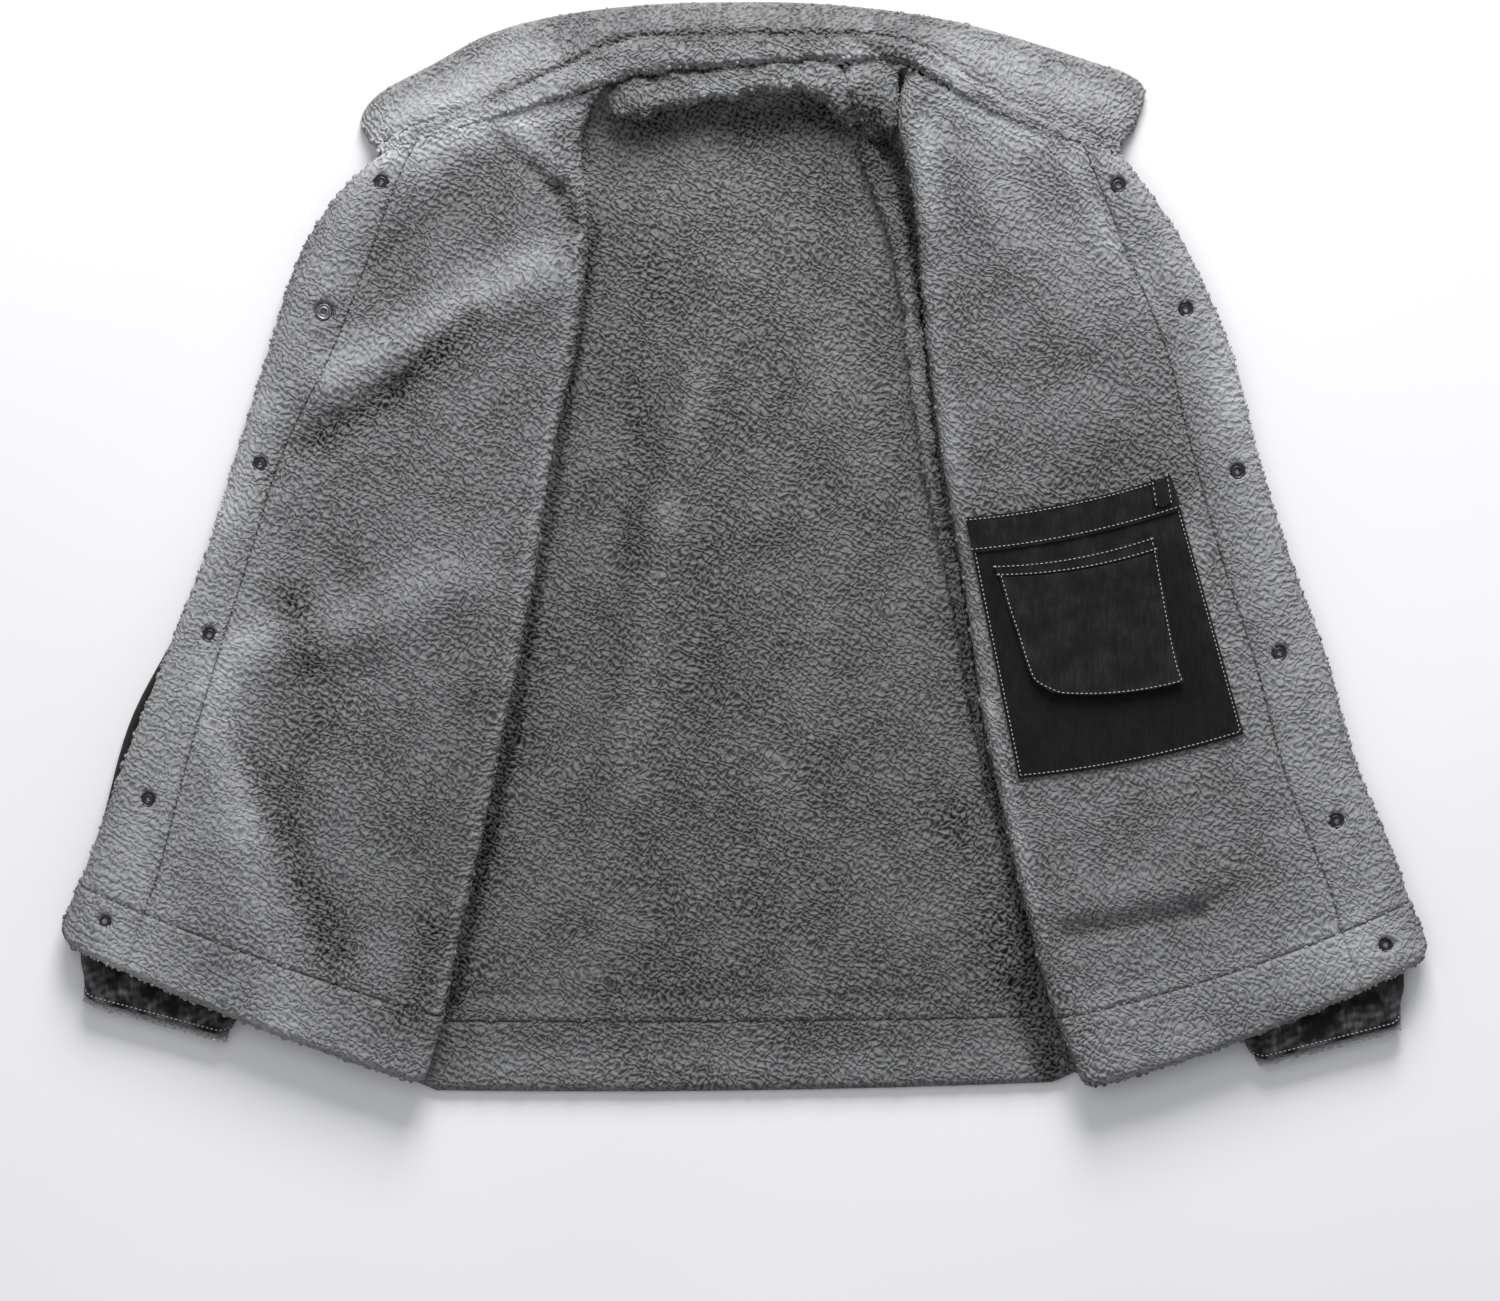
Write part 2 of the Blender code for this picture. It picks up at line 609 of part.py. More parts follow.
def make_back(collection, materials):
    """The flat denim back, its lining and the lining's hem band."""
    dips = {BACK_BAND_YS[0]: PILE_ROUND, BACK_BAND_YS[1]: PILE_SHOULDER, BACK_BAND_YS[-1]: SEAM_DIP,
            BACK_MAIN_YS[0]: SEAM_DIP}
    base = DENIM + SEAM_GAP
    for name, ys in (("back_hem_lining", BACK_BAND_YS), ("back_lining", BACK_MAIN_YS)):
        upper = [back_line(y, BACK_TOP, dips.get(y, 0.0)) for y in ys]
        lower = [back_line(y, base, None) for y in ys]
        add_object(name, wall_mesh(name, upper, lower), collection, materials["sherpa_back"])
    upper = [back_line(y, DENIM, None)[::BACK_SHELL_STEP] for y in BACK_SHELL_YS]
    lower = [back_line(y, 0.0, None)[::BACK_SHELL_STEP] for y in BACK_SHELL_YS]
    add_object("back_shell", wall_mesh("back_shell", upper, lower), collection, materials["denim"])


# ---------------------------------------------------------------- sleeves
def flat_ring(row, thick, depth):
    """A flattened tube's section: two half rounds joined by flat runs."""
    inner = Vector((row.inner_x, row.inner_y, thick / 2))
    outer = Vector((row.outer_x, row.outer_y, thick / 2))
    across = (outer - inner).normalized()
    radius = thick / 2 - depth
    ring = []
    for centre, facing in ((inner + across * thick / 2, -1), (outer - across * thick / 2, 1)):
        for step in range(RING_ARC_STEPS + 1):
            angle = math.pi * (step / RING_ARC_STEPS - 0.5) * facing
            reach = across * (facing * math.cos(angle) * radius)
            ring.append(centre + reach - Vector((0, 0, math.sin(angle) * radius)))
        if facing == -1:
            ring.append(Vector(((inner.x + outer.x) / 2, (inner.y + outer.y) / 2, ring[-1].z)))
    ring.append(Vector(((inner.x + outer.x) / 2, (inner.y + outer.y) / 2, ring[-1].z)))
    return ring


def tube(name, rows, thick, depths):
    """A flattened tube wall between two depths, open at both ends."""
    outside = [flat_ring(row, thick, depths[0]) for row in rows]
    inside = [flat_ring(row, thick, depths[1]) for row in reversed(rows)]
    return mesh_from_grid(name, outside + inside, close_ring=True, close_loop=True)


def moved_row(row, towards, distance):
    """A sleeve row moved along the tube."""
    inner = Vector((row.inner_x, row.inner_y))
    outer = Vector((row.outer_x, row.outer_y))
    step_inner = (Vector((towards.inner_x, towards.inner_y)) - inner).normalized() * distance
    step_outer = (Vector((towards.outer_x, towards.outer_y)) - outer).normalized() * distance
    return SleeveRow(*(inner + step_inner), *(outer + step_outer))


def make_sleeve(side, collection, materials):
    """Denim sleeve, denim cuff and the lining tube that runs through both."""
    rows = SLEEVE_ROWS[side]
    cuff = CUFF_ROWS[side]
    name = "sleeve_" + side
    shell = tube(name, rows, SLEEVE_THICK, (0.0, DENIM))
    add_object(name, shell, collection, materials["denim"])
    name = "cuff_" + side
    band = tube(name, cuff, CUFF_THICK, (0.0, CUFF_DENIM))
    add_object(name, band, collection, materials["denim"])
    mouth = moved_row(cuff[-1], cuff[-2], -LINING_FRINGE)
    name = "sleeve_lining_" + side
    lining_rows = rows + cuff + [mouth]
    slit_depth = SLEEVE_THICK / 2 - LINING_SLIT / 2
    outer_depth = CUFF_DENIM + SEAM_GAP
    lining = tube(name, lining_rows, SLEEVE_THICK, (outer_depth, slit_depth))
    for vert in lining.vertices:
        vert.co.z += (CUFF_THICK - SLEEVE_THICK) / 4
    add_object(name, lining, collection, materials["sherpa_front"])


# ---------------------------------------------------------------- collar and rolls
def collar_rows():
    """The collar's table read evenly along its length."""
    keyed = namedtuple("KeyedRow", ("key",) + CollarRow._fields)
    rows = [keyed(number, *row) for number, row in enumerate(COLLAR_ROWS)]
    last = len(rows) - 1
    return [spline(rows, "key", last * step / COLLAR_COLUMNS) for step in range(COLLAR_COLUMNS + 1)]


def outward_at(rows, number):
    """The level direction from the neck towards the collar's outer edge."""
    before = rows[max(number - 1, 0)]
    after = rows[min(number + 1, len(rows) - 1)]
    along = Vector((after.neck_x - before.neck_x, after.neck_y - before.neck_y, 0)).normalized()
    return Vector((-along.y, along.x, 0))


def collar_line(rows, number, depth):
    """The points across the collar from the roll to its outer edge."""
    row = rows[number]
    outward = outward_at(rows, number)
    neck = Vector((row.neck_x, row.neck_y, 0)) + outward * (row.roll_width + 2 * SEAM_GAP)
    outer = Vector((row.outer_x, row.outer_y, 0))
    width = (outer - neck).length
    across = (outer - neck) / width
    taper = row.roll_top / HIGHEST_ROLL
    line = []
    for column in COLLAR_COLUMNS_ACROSS:
        from_edge = min(column.from_edge, width * COLLAR_EDGE_SHARE)
        along = width * column.fraction - (from_edge if column.fraction == 1.0 else 0.0)
        spot = neck + across * along
        spot.z = WALL - depth + column.lift * taper
        spot.z += crease_lift(COLLAR_CREASES, spot.x, spot.y) * (column.fraction < 1.0)
        if depth == 0.0:
            spot.z -= column.round_off
        line.append(spot)
    return line


def superellipse_ring(centre, across, width, bottom, top):
    """A soft rounded section with a flattened underside."""
    ring = []
    for step in range(ROLL_SIDES):
        angle = 2 * math.pi * (step + 0.5) / ROLL_SIDES
        cos = math.cos(angle)
        sin = math.sin(angle)
        reach = math.copysign(abs(cos) ** ROLL_SQUARENESS, cos) * width / 2
        rise = max(math.copysign(abs(sin) ** ROLL_SQUARENESS, sin), -ROLL_FLAT)
        level = (bottom + top) / 2 + rise / ROLL_FLAT * (top - bottom) / 2
        spot = centre + across * reach
        spot.z = min(level, top)
        ring.append(spot)
    return ring


def roll_mesh(name, rows):
    """A soft roll that lies on the back lining along a table's path."""
    rings = []
    for number, row in enumerate(rows):
        before = rows[max(number - 1, 0)]
        after = rows[min(number + 1, len(rows) - 1)]
        along = Vector((after.x - before.x, after.y - before.y, 0)).normalized()
        across = Vector((-along.y, along.x, 0))
        centre = Vector((row.x, row.y, 0))
        rings.append(superellipse_ring(centre, across, row.width, ON_BACK, ON_BACK + row.height))
    return mesh_from_grid(name, rings, close_ring=True, cap_ends=True)


def make_collar(collection, materials):
    """Collar lining on its denim, the stand's roll and the rolls at the neck."""
    rows = collar_rows()
    numbers = range(len(rows))
    upper = [collar_line(rows, number, 0.0) for number in numbers]
    lower = [collar_line(rows, number, PILE) for number in numbers]
    mesh = wall_mesh("collar_lining", upper, lower)
    add_object("collar_lining", mesh, collection, materials["sherpa_front"])
    numbers = range(1, len(rows) - 1)
    upper = [collar_line(rows, number, PILE + SEAM_GAP)[:-1] for number in numbers]
    lower = [collar_line(rows, number, WALL)[:-1] for number in numbers]
    mesh = wall_mesh("collar_shell", upper, lower)
    add_object("collar_shell", mesh, collection, materials["denim"])
    rings = []
    for number, row in enumerate(rows):
        outward = outward_at(rows, number)
        neck = Vector((row.neck_x, row.neck_y, 0))
        centre = neck + outward * (row.roll_width / 2 + SEAM_GAP)
        rings.append(superellipse_ring(centre, outward, row.roll_width, ON_BACK, row.roll_top))
    mesh = mesh_from_grid("collar_stand", rings, close_ring=True, cap_ends=True)
    add_object("collar_stand", mesh, collection, materials["sherpa_front"])
    rolls = (("neck_facing", NECK_FACING_ROWS), ("shoulder_roll_right", SHOULDER_ROLL_ROWS),
             ("side_ridge_right", SIDE_RIDGE_ROWS))
    for name, table in rolls:
        add_object(name, roll_mesh(name, table), collection, materials["sherpa_back"])


# ---------------------------------------------------------------- what lies on a panel
def surface_of(objects):
    """A search tree over the pieces that something lies on."""
    points = []
    faces = []
    for item in objects:
        start = len(points)
        points += [vert.co.copy() for vert in item.data.vertices]
        faces += [[start + number for number in face.vertices] for face in item.data.polygons]
    return BVHTree.FromPolygons(points, faces)


def height_on(surface, x, y):
    """The height of the top surface at a place."""
    hit, normal, _, _ = surface.ray_cast(Vector((x, y, PROBE_HEIGHT)), Vector((0, 0, -1)))
    return (hit.z, normal) if hit else (FRONT_TOP, Vector((0, 0, 1)))


def laid_sheet(name, surface, lines, columns, lift, thick, proud=0.0, level=None):
    """A sheet over a surface, or at one level: each line of the table is a row across it."""
    upper = []
    lower = []
    for number, line in enumerate(lines):
        share_down = number / (len(lines) - 1)
        top = []
        bottom = []
        for column in range(columns + 1):
            share = column / columns
            x = line.left_x + (line.right_x - line.left_x) * share
            y = line.left_y + (line.right_y - line.left_y) * share
            y += POCKET_BOW * 4 * share * (1 - share)
            height = level or height_on(surface, x, y)[0] + lift + proud * share_down ** 2
            bottom.append(Vector((x, y, height)))
            top.append(Vector((x, y, height + thick)))
        upper.append(top)
        lower.append(bottom)
    return wall_mesh(name, upper, lower)


def between(top, bottom, shares):
    """Lines at the given shares of the way from a top to a bottom line."""
    return [Quad(*(a + (b - a) * share for a, b in zip(top, bottom))) for share in shares]


def make_pocket(fronts, collection, materials):
    """Denim pocket with its hemmed band, hanging tab, welt and coin flap."""
    denim = materials["denim"]
    surface = surface_of(fronts)
    lines = between(PATCH_TOP, PATCH_BOTTOM, PATCH_SHARES)
    patch_mesh = laid_sheet("pocket_patch", surface, lines, PATCH_COLUMNS, POCKET_LIFT, DENIM)
    patch = add_object("pocket_patch", patch_mesh, collection, denim)
    on_patch = surface_of([patch])
    lines = between(PATCH_TOP, PATCH_BOTTOM, BAND_SHARES)
    band_mesh = laid_sheet("pocket_band", on_patch, lines, PATCH_COLUMNS, LAY_GAP, BAND_THICK)
    band = add_object("pocket_band", band_mesh, collection, denim)
    lines = between(TAB_TOP, TAB_BOTTOM, [0.0, 1.0])
    on_band = surface_of([band])
    level = max(height_on(on_band, x, y)[0] for x, y in TAB_PROBES) + LAY_GAP
    tab_mesh = laid_sheet("pocket_tab", on_band, lines, TAB_COLUMNS, 0.0, DENIM, level=level)
    add_object("pocket_tab", tab_mesh, collection, denim)
    lines = between(WELT_TOP, WELT_BOTTOM, [0.0, 0.5, 1.0])
    welt_mesh = laid_sheet("coin_welt", on_patch, lines, WELT_COLUMNS, LAY_GAP, BAND_THICK)
    add_object("coin_welt", welt_mesh, collection, denim)
    flap_mesh = laid_sheet("coin_flap", on_patch, FLAP_ROWS, WELT_COLUMNS, LAY_GAP, DENIM,
                           FLAP_PROUD)
    add_object("coin_flap", flap_mesh, collection, denim)


def snap_mesh():
    """A snap's ring: a closed profile that the Screw modifier turns."""
    profile = [(SNAP_HOLE, 0.0), (SNAP_HOLE + SNAP_INNER_SLOPE, SNAP_THICK),
               (SNAP_RADIUS - SNAP_OUTER_SLOPE, SNAP_THICK), (SNAP_RADIUS, 0.0)]
    mesh = bpy.data.meshes.new("snap")
    points = [(x, 0.0, z) for x, z in profile]
    edges = [(number, (number + 1) % len(points)) for number in range(len(points))]
    mesh.from_pydata(points, edges, [])
    return mesh


def snap_spots(side, fronts):
    """Where each snap stands on the fleece's face, and how it leans."""
    surface = surface_of(fronts)
    spots = []
    for place in SNAP_PLACES[side]:
        height, normal = height_on(surface, place.x, place.y)
        lean = Vector((0, 0, 1)).rotation_difference(normal).to_matrix().to_4x4()
        spots.append(Matrix.Translation((place.x, place.y, height)) @ lean)
    return spots


def press_wells(side, spots, fronts, cutters):
    """Press a round well into the pile under each snap."""
    build = bmesh.new()
    middle = Matrix.Translation((0, 0, (WELL_HEAD - WELL_DEPTH) / 2))
    for spot in spots:
        bmesh.ops.create_cone(build, cap_ends=True, segments=WELL_SIDES, radius1=WELL_RADIUS,
                              radius2=WELL_RADIUS, depth=WELL_HEAD + WELL_DEPTH,
                              matrix=spot @ middle)
    mesh = bpy.data.meshes.new("wells_" + side)
    build.to_mesh(mesh)
    build.free()
    cutter = bpy.data.objects.new("wells_" + side, mesh)
    cutter.hide_render = True
    cutter.display_type = "WIRE"
    cutters.objects.link(cutter)
    for item in fronts:
        cut = item.modifiers.new("wells", "BOOLEAN")
        cut.operation = "DIFFERENCE"
        cut.object = cutter


def make_snaps(side, spots, collection, materials):
    """The row of snap rings along one facing, each on the floor of its well."""
    mesh = snap_mesh()
    seat = Matrix.Translation((0, 0, LAY_GAP - WELL_DEPTH))
    for number, spot in enumerate(spots, start=1):
        item = add_object(f"snap_{side}_{number}", mesh, collection, materials["snap_metal"])
        turn = item.modifiers.new("turn", "SCREW")
        turn.steps = SNAP_SIDES
        turn.render_steps = SNAP_SIDES
        turn.use_merge_vertices = True
        turn.merge_threshold = SNAP_MERGE
        item.matrix_world = spot @ seat


def main():
    """Build the whole jacket."""
    clear_scene()
    collection = bpy.data.collections.new("sherpa_jacket")
    bpy.context.scene.collection.children.link(collection)
    cutters = bpy.data.collections.new("cutters")
    bpy.context.scene.collection.children.link(cutters)
    materials = {name: new_material(name) for name in FINISHES}
    make_back(collection, materials)
    for side in ("left", "right"):
        make_sleeve(side, collection, materials)
        fronts = make_front(side, collection, materials)
        if side == "right":
            make_pocket(fronts, collection, materials)
        spots = snap_spots(side, fronts)
        press_wells(side, spots, fronts[1:], cutters)
        make_snaps(side, spots, collection, materials)
    make_collar(collection, materials)


main()
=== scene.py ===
"""Looks of a sherpa-lined denim jacket laid open on its back, with the lining up.

Every fleece piece is a closed wall on its solid's form whose upper side carries
the curly pile; the denim, thread and snaps are modelled on the same sections.
Metres, but the tables are written in millimetres. +Z up, +X across the jacket,
+Y from hem to collar, floor at z = 0. Left and right are the sides of the view
from above.
"""
import math
from collections import namedtuple

import bmesh
import bpy
import numpy as np
from bpy.props import FloatProperty, FloatVectorProperty, PointerProperty
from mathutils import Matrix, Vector
from mathutils.bvhtree import BVHTree


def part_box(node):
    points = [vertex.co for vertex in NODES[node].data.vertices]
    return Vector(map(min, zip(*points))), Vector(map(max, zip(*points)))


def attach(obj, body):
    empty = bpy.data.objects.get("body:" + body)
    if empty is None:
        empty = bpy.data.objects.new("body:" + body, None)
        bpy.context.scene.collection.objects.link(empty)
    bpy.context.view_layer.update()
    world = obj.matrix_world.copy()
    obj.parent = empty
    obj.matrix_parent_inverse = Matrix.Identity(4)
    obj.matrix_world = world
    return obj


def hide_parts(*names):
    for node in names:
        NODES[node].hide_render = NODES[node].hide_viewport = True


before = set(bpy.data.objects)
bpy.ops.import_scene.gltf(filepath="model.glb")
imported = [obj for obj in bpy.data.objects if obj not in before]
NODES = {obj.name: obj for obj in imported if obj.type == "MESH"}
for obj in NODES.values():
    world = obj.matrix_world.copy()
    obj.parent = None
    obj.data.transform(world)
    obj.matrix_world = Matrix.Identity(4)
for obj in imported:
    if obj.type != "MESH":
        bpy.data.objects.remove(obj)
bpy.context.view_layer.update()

bl_info = {
    "name": "Sherpa Lined Jacket",
    "version": (1, 0, 0),
    "blender": (4, 5, 0),
    "location": "3D View > Sidebar > Jacket",
    "description": "Fleece, denim, thread and snaps of a jacket laid open on its back",
    "category": "Object",
}

BODY = "root"
SIDES = ("left", "right")

# ---- cloth sizes: layers from the floor up, then how edges and seams are rounded
DENIM = 0.0015
PILE = 0.0070
SEAM_GAP = 0.0003
LAY_GAP = 0.0004
WALL = DENIM + SEAM_GAP + PILE
ON_BACK = WALL + LAY_GAP
FRONT_TOP = 0.0305
FOLD_RADIUS = (FRONT_TOP - ON_BACK) / 2
EDGE_REACH = 0.025
UNDERLAY_INSET = 0.003
UNDERLAY_LEAST = FOLD_RADIUS + 0.006
EDGE_ROUND = 0.0062
SEAM_ROUND = 0.0030
SEAM_DEPTH = 0.0024
NECK_KEPT = 0.0052

# ---- how the pile stands and lies: pressed at edges and wells, curled in slanting waves
PILE_FADE = 0.0017
EDGE_PRESSED = 0.8
PRESSED_FROM = 0.75
WELL_PRESSED = 0.4
PILE_LEAN = 0.72
PILE_MESHED = 0.5
SWELL_SCALE = 80.0
CURL_WAYS = ((0.5, 1.0, 0.6), (1.0, -0.55, 0.5))
CURL_PHASES = (0.0, 1.7)
DRIFT = 0.014
DRIFT_SCALE = 24.0
PIECE_SHIFT = (0.37, 0.61, 0.23)
# Tufts stand where a piece turns down past RIM_SLOPE, and above RIM_LOWEST.
RIM_SLOPE = 0.72
RIM_SOFTNESS = 0.25
RIM_UNDERSIDE = -0.5
RIM_LOWEST = 0.0065
TUFT_SIZES = (0.55, 1.35)
FULL_TURN = 6.28

# Every piece's number shifts its noise, so that no two pieces match.
FRONT_NUMBERS = (3, 8)
SLEEVE_NUMBERS = (13, 14)
COLLAR_NUMBER = 20
STAND_NUMBER = 21
FIRST_ROLL_NUMBER = 22

# ---- finishes; a range is a value's low and high, and what they become
FLAT_SHADE = 0.72
PLAIN_CRISP = 0.88
# How strongly the patches' painted light and shade change the fleece's colour.
NAP_AND_SHADE_GAIN = 0.90
BUMP_SHARE = 0.80
FINE_BUMP = 0.06
FINE_SCALE = 640.0
FINE_TONE = (0.3, 0.7, 0.93, 1.07)
PATCH_SCALE = 24.0
PATCH_TONE = (0.35, 0.65, 0.95, 1.05)
PATCH_CRISP = (0.35, 0.65, 1.12, 0.80)
# How the patches' painted shade sharpens the curls and deepens their painted crease shade.
NAP_AND_SHADE_CRISP = (-0.6, 0.6, 1.35, 0.48)
FLUFF_TONE = (0.0, 0.8, FLAT_SHADE, 1.0)
# Painted shade in the pile's creases: how far down a crease is painted dark, from the curl.
CREASE_SHADE_DEPTH = (0.0, 0.80, 1.0, 0.0)
CREASE_SHADE_POWER = 1.3
TWILL_WAY = (0.80, 0.60, 0.0)
TWILL_PITCH = 0.0010
YARN_WAY = (-0.20, 0.98, 0.0)
YARN_PITCH = 0.0006
YARN_WEIGHT = 0.35
YARN_STRETCH = (1.0, 0.16, 1.0)
YARN_SCALE = 900.0
YARN_TONE = (0.3, 0.7, 0.8, 1.2)
YARN_BUMP = 1.2
WEAVE_TONE = (-1.3, 1.3, 0.55, 1.45)
WEAVE_BUMP = 0.00022
SLUB_SCALE = 420.0
SLUB_TONE = (0.35, 0.65, 0.72, 1.28)
CLOUD_SCALE = 60.0
CLOUD_TONE = (0.3, 0.7, 0.74, 1.26)
CLOUD_RUBBED = (0.42, 0.60, 0.0, 1.0)
# The denim's tone under the darkest painted shadow.
DARKEST_PAINTED_SHADOW = 0.36
WEAR_AND_SHADOW_TONE = (-1.0, 0.0, DARKEST_PAINTED_SHADOW, 1.0)
FLECK_SCALE = 1400.0
FLECK_TONE = (0.3, 0.7, 0.6, 1.3)
FLECK_BUMP = 0.0002
SCRATCH_SCALE = 700.0
SCRATCH_TONE = (0.35, 0.65, 0.7, 1.25)
SCRATCH_ROUGHNESS = (0.3, 0.7, 0.28, 0.52)
SCRATCH_BUMP = 0.0001

# ---- grid counts; COARSE fine steps make one step of an inner side
COARSE = 6
FOLD_STEPS = 24
MAIN_STEPS = 150
FACING_STEPS = 24
EDGE_STEPS = 6
FRONT_ROWS_FINE = 360
HEM_ROWS_FINE = 30
BACK_STEPS = 240
BACK_ROWS_FINE = 360
HEM_ROWS_BACK = 36
SHELL_ROWS = 72
SHELL_ZONES = (("under", 4), ("fold", 10), ("main", 20, 1), ("facing", 5))
SHELL_EDGE = 0.4
COLLAR_STATIONS = 390
COLLAR_STEPS = 36
COLLAR_SHELL_STEPS = 12
ROLL_SIDES = 36
SLEEVE_RINGS = 60
SLEEVE_SIDES = 64
SLEEVE_INNER_STEP = 4
CUFF_ROWS_FINE = 42
CUFF_SIDES = 160
CUFF_INNER_STEP = 8
LINING_SIDES = 200
LINING_FAR_RINGS = 12
LINING_NEAR_RINGS = 16
LINING_INNER_STEP = 3

# ---- tables, written in millimetres and kept in metres
SHARES = ("t", "fraction", "strength")


def rows_of(kind, *rows):
    """A table's rows in metres; columns that hold shares stay as they are written."""
    units = [1 if name in SHARES else 1000 for name in kind._fields]
    return [kind(*(value / unit for value, unit in zip(row, units))) for row in rows]


FrontRow = namedtuple("FrontRow", "t fold_x fold_y edge_x edge_y bow facing drop")
Crease = namedtuple("Crease", "x0 y0 x1 y1 reach lift")
Patch = namedtuple("Patch", "x0 y0 x1 y1 reach strength")
BackRow = namedtuple("BackRow", "y left_x right_x")
SleeveRow = namedtuple("SleeveRow", "inner_x inner_y outer_x outer_y")
CollarRow = namedtuple("CollarRow", "neck_x neck_y outer_x outer_y roll_width roll_top")
CollarLift = namedtuple("CollarLift", "fraction lift")
RollRow = namedtuple("RollRow", "x y width height")
RollGrid = namedtuple("RollGrid", "stations sides")
Quad = namedtuple("Quad", "left_x left_y right_x right_y")
SnapPoint = namedtuple("SnapPoint", "radius height")
Column = namedtuple("Column", "zone place")
Cut = namedtuple("Cut", "width length area held rests_on")
SheetPart = namedtuple("SheetPart", "name lines rows columns lift thick proud pucker cut runs")

# ---- front panels
FRONT_ROWS = {
    "left": rows_of(
        FrontRow,
        (0, -226, -387, -490, -283, -6, 50, 10),
        (0.07, -215, -338, -477, -243, -5, 50, 9),
        (0.125, -208, -298, -466, -213, -4, 50, 5),
        (0.25, -188, -209, -440, -142, 0, 43, 2),
        (0.375, -170, -120, -412, -72, 0, 36, 3),
        (0.5, -152, -31, -385, -1, 0, 32, 9),
        (0.625, -139, 58, -364, 69, 0, 34, 12),
        (0.75, -119, 147, -342, 140, 0, 48, 12),
        (0.875, -113, 236, -319, 210, 0, 54, 12),
        (0.95, -117, 290, -288, 257, 0, 42, 11),
        (1, -106, 325.5, -260, 281.5, 2, 27, 9)),
    "right": rows_of(
        FrontRow,
        (0, 240, -390, 490, -295, -8, 52, 10),
        (0.07, 223, -339, 477, -255, -8, 52, 10),
        (0.125, 211, -298, 467, -223, -6, 52, 11),
        (0.25, 189, -207, 438, -152, -2, 52, 12),
        (0.375, 170, -116, 418, -80, 0, 52, 12),
        (0.5, 157, -24, 392, -8, 0, 50, 12),
        (0.625, 141, 67, 369, 64, 0, 48, 12),
        (0.75, 129, 159, 351, 136, 0, 50, 12),
        (0.875, 121, 250, 321, 207, 0, 52, 12),
        (0.95, 110, 305, 294, 250, -4, 42, 11),
        (1, 116, 342.5, 270, 280, -6.2, 30, 9)),
}

FRONT_LENGTH = 0.64
HEM_BAND = 0.070
HEM_SEAM = 0.0002
BAND_FROM_HEM = 0.005
FOLD_CORNER = 0.015
OUTER_CORNER = 0.010
CORNER_FADE = 0.060
FOLD_PILE_START = 0.02
FOLD_PILE_RISE = 0.22
FOLD_RAGGED = 0.15

FRONT_CREASES = {
    "left": rows_of(
        Crease,
        (-146, 189, -295, 115, 22, 6.2), (-196, 162, -249, 112, 11, -4.4),
        (-249, 112, -322, 70, 11, -4), (-175, 276, -270, 202, 16, -4.6),
        (-208, -28, -270, -63, 20, 4.8), (-270, -63, -359, -78, 20, 3.6),
        (-370, -125, -332, -205, 13, -3), (-322, -225, -290, -325, 14, -3),
        (-176, 292, -160, 277, 8, -2.4), (-152, 270, -134, 255, 7, -4.8),
        (-134, 255, -120, 228, 7, -4.4)),
    "right": rows_of(
        Crease,
        (247, 125, 276, 100, 11, -2.4), (148, 278, 227, 156, 20, 4.2),
        (133, 305, 160, 289, 11, -2.8), (230, -276.5, 325, -262, 8.5, -3.2),
        (325, -262, 348, -243, 8.5, -2.6), (238, -258, 335, -240, 15, 4),
        (322, -335, 318, -290, 20, -3.4), (226, 90, 318, 118, 18, 1.6)),
}

# ---- back panel
BACK_ROWS = rows_of(
    BackRow,
    (-386.5, -268, 270), (-338.5, -266, 268), (-200, -261, 262),
    (-130, -257, 258), (-60, -250, 251), (5, -237, 238),
    (60, -218, 219), (130, -200, 201), (200, -196, 197),
    (255, -214, 215), (300, -150, 160), (330, -104, 120),
    (347, -85, 106))

BACK_SEAM_Y = -0.3385
BACK_NECK_Y = 0.347
BACK_SHELL_INSET = 0.002
BACK_FADE = 0.15
HEM_FADE = 0.12
HEM_TILT = 0.0036
HEM_BOW = -0.0045
HEM_CORNER_X = 0.222
HEM_CORNER_RISE = 0.42
HEM_FOOT = EDGE_ROUND * 0.1
UNDER_FOLD = 0.012
HIDDEN_LEAST = 0.003

BACK_CREASES = rows_of(
    Crease,
    (-31, 123, -55, 18, 18, 2.6), (-55, 18, -86, -173, 18, 2.6),
    (157, -307, 189, -285, 9, -1.8), (-217, -324, 120, -324, 6, -1.4))
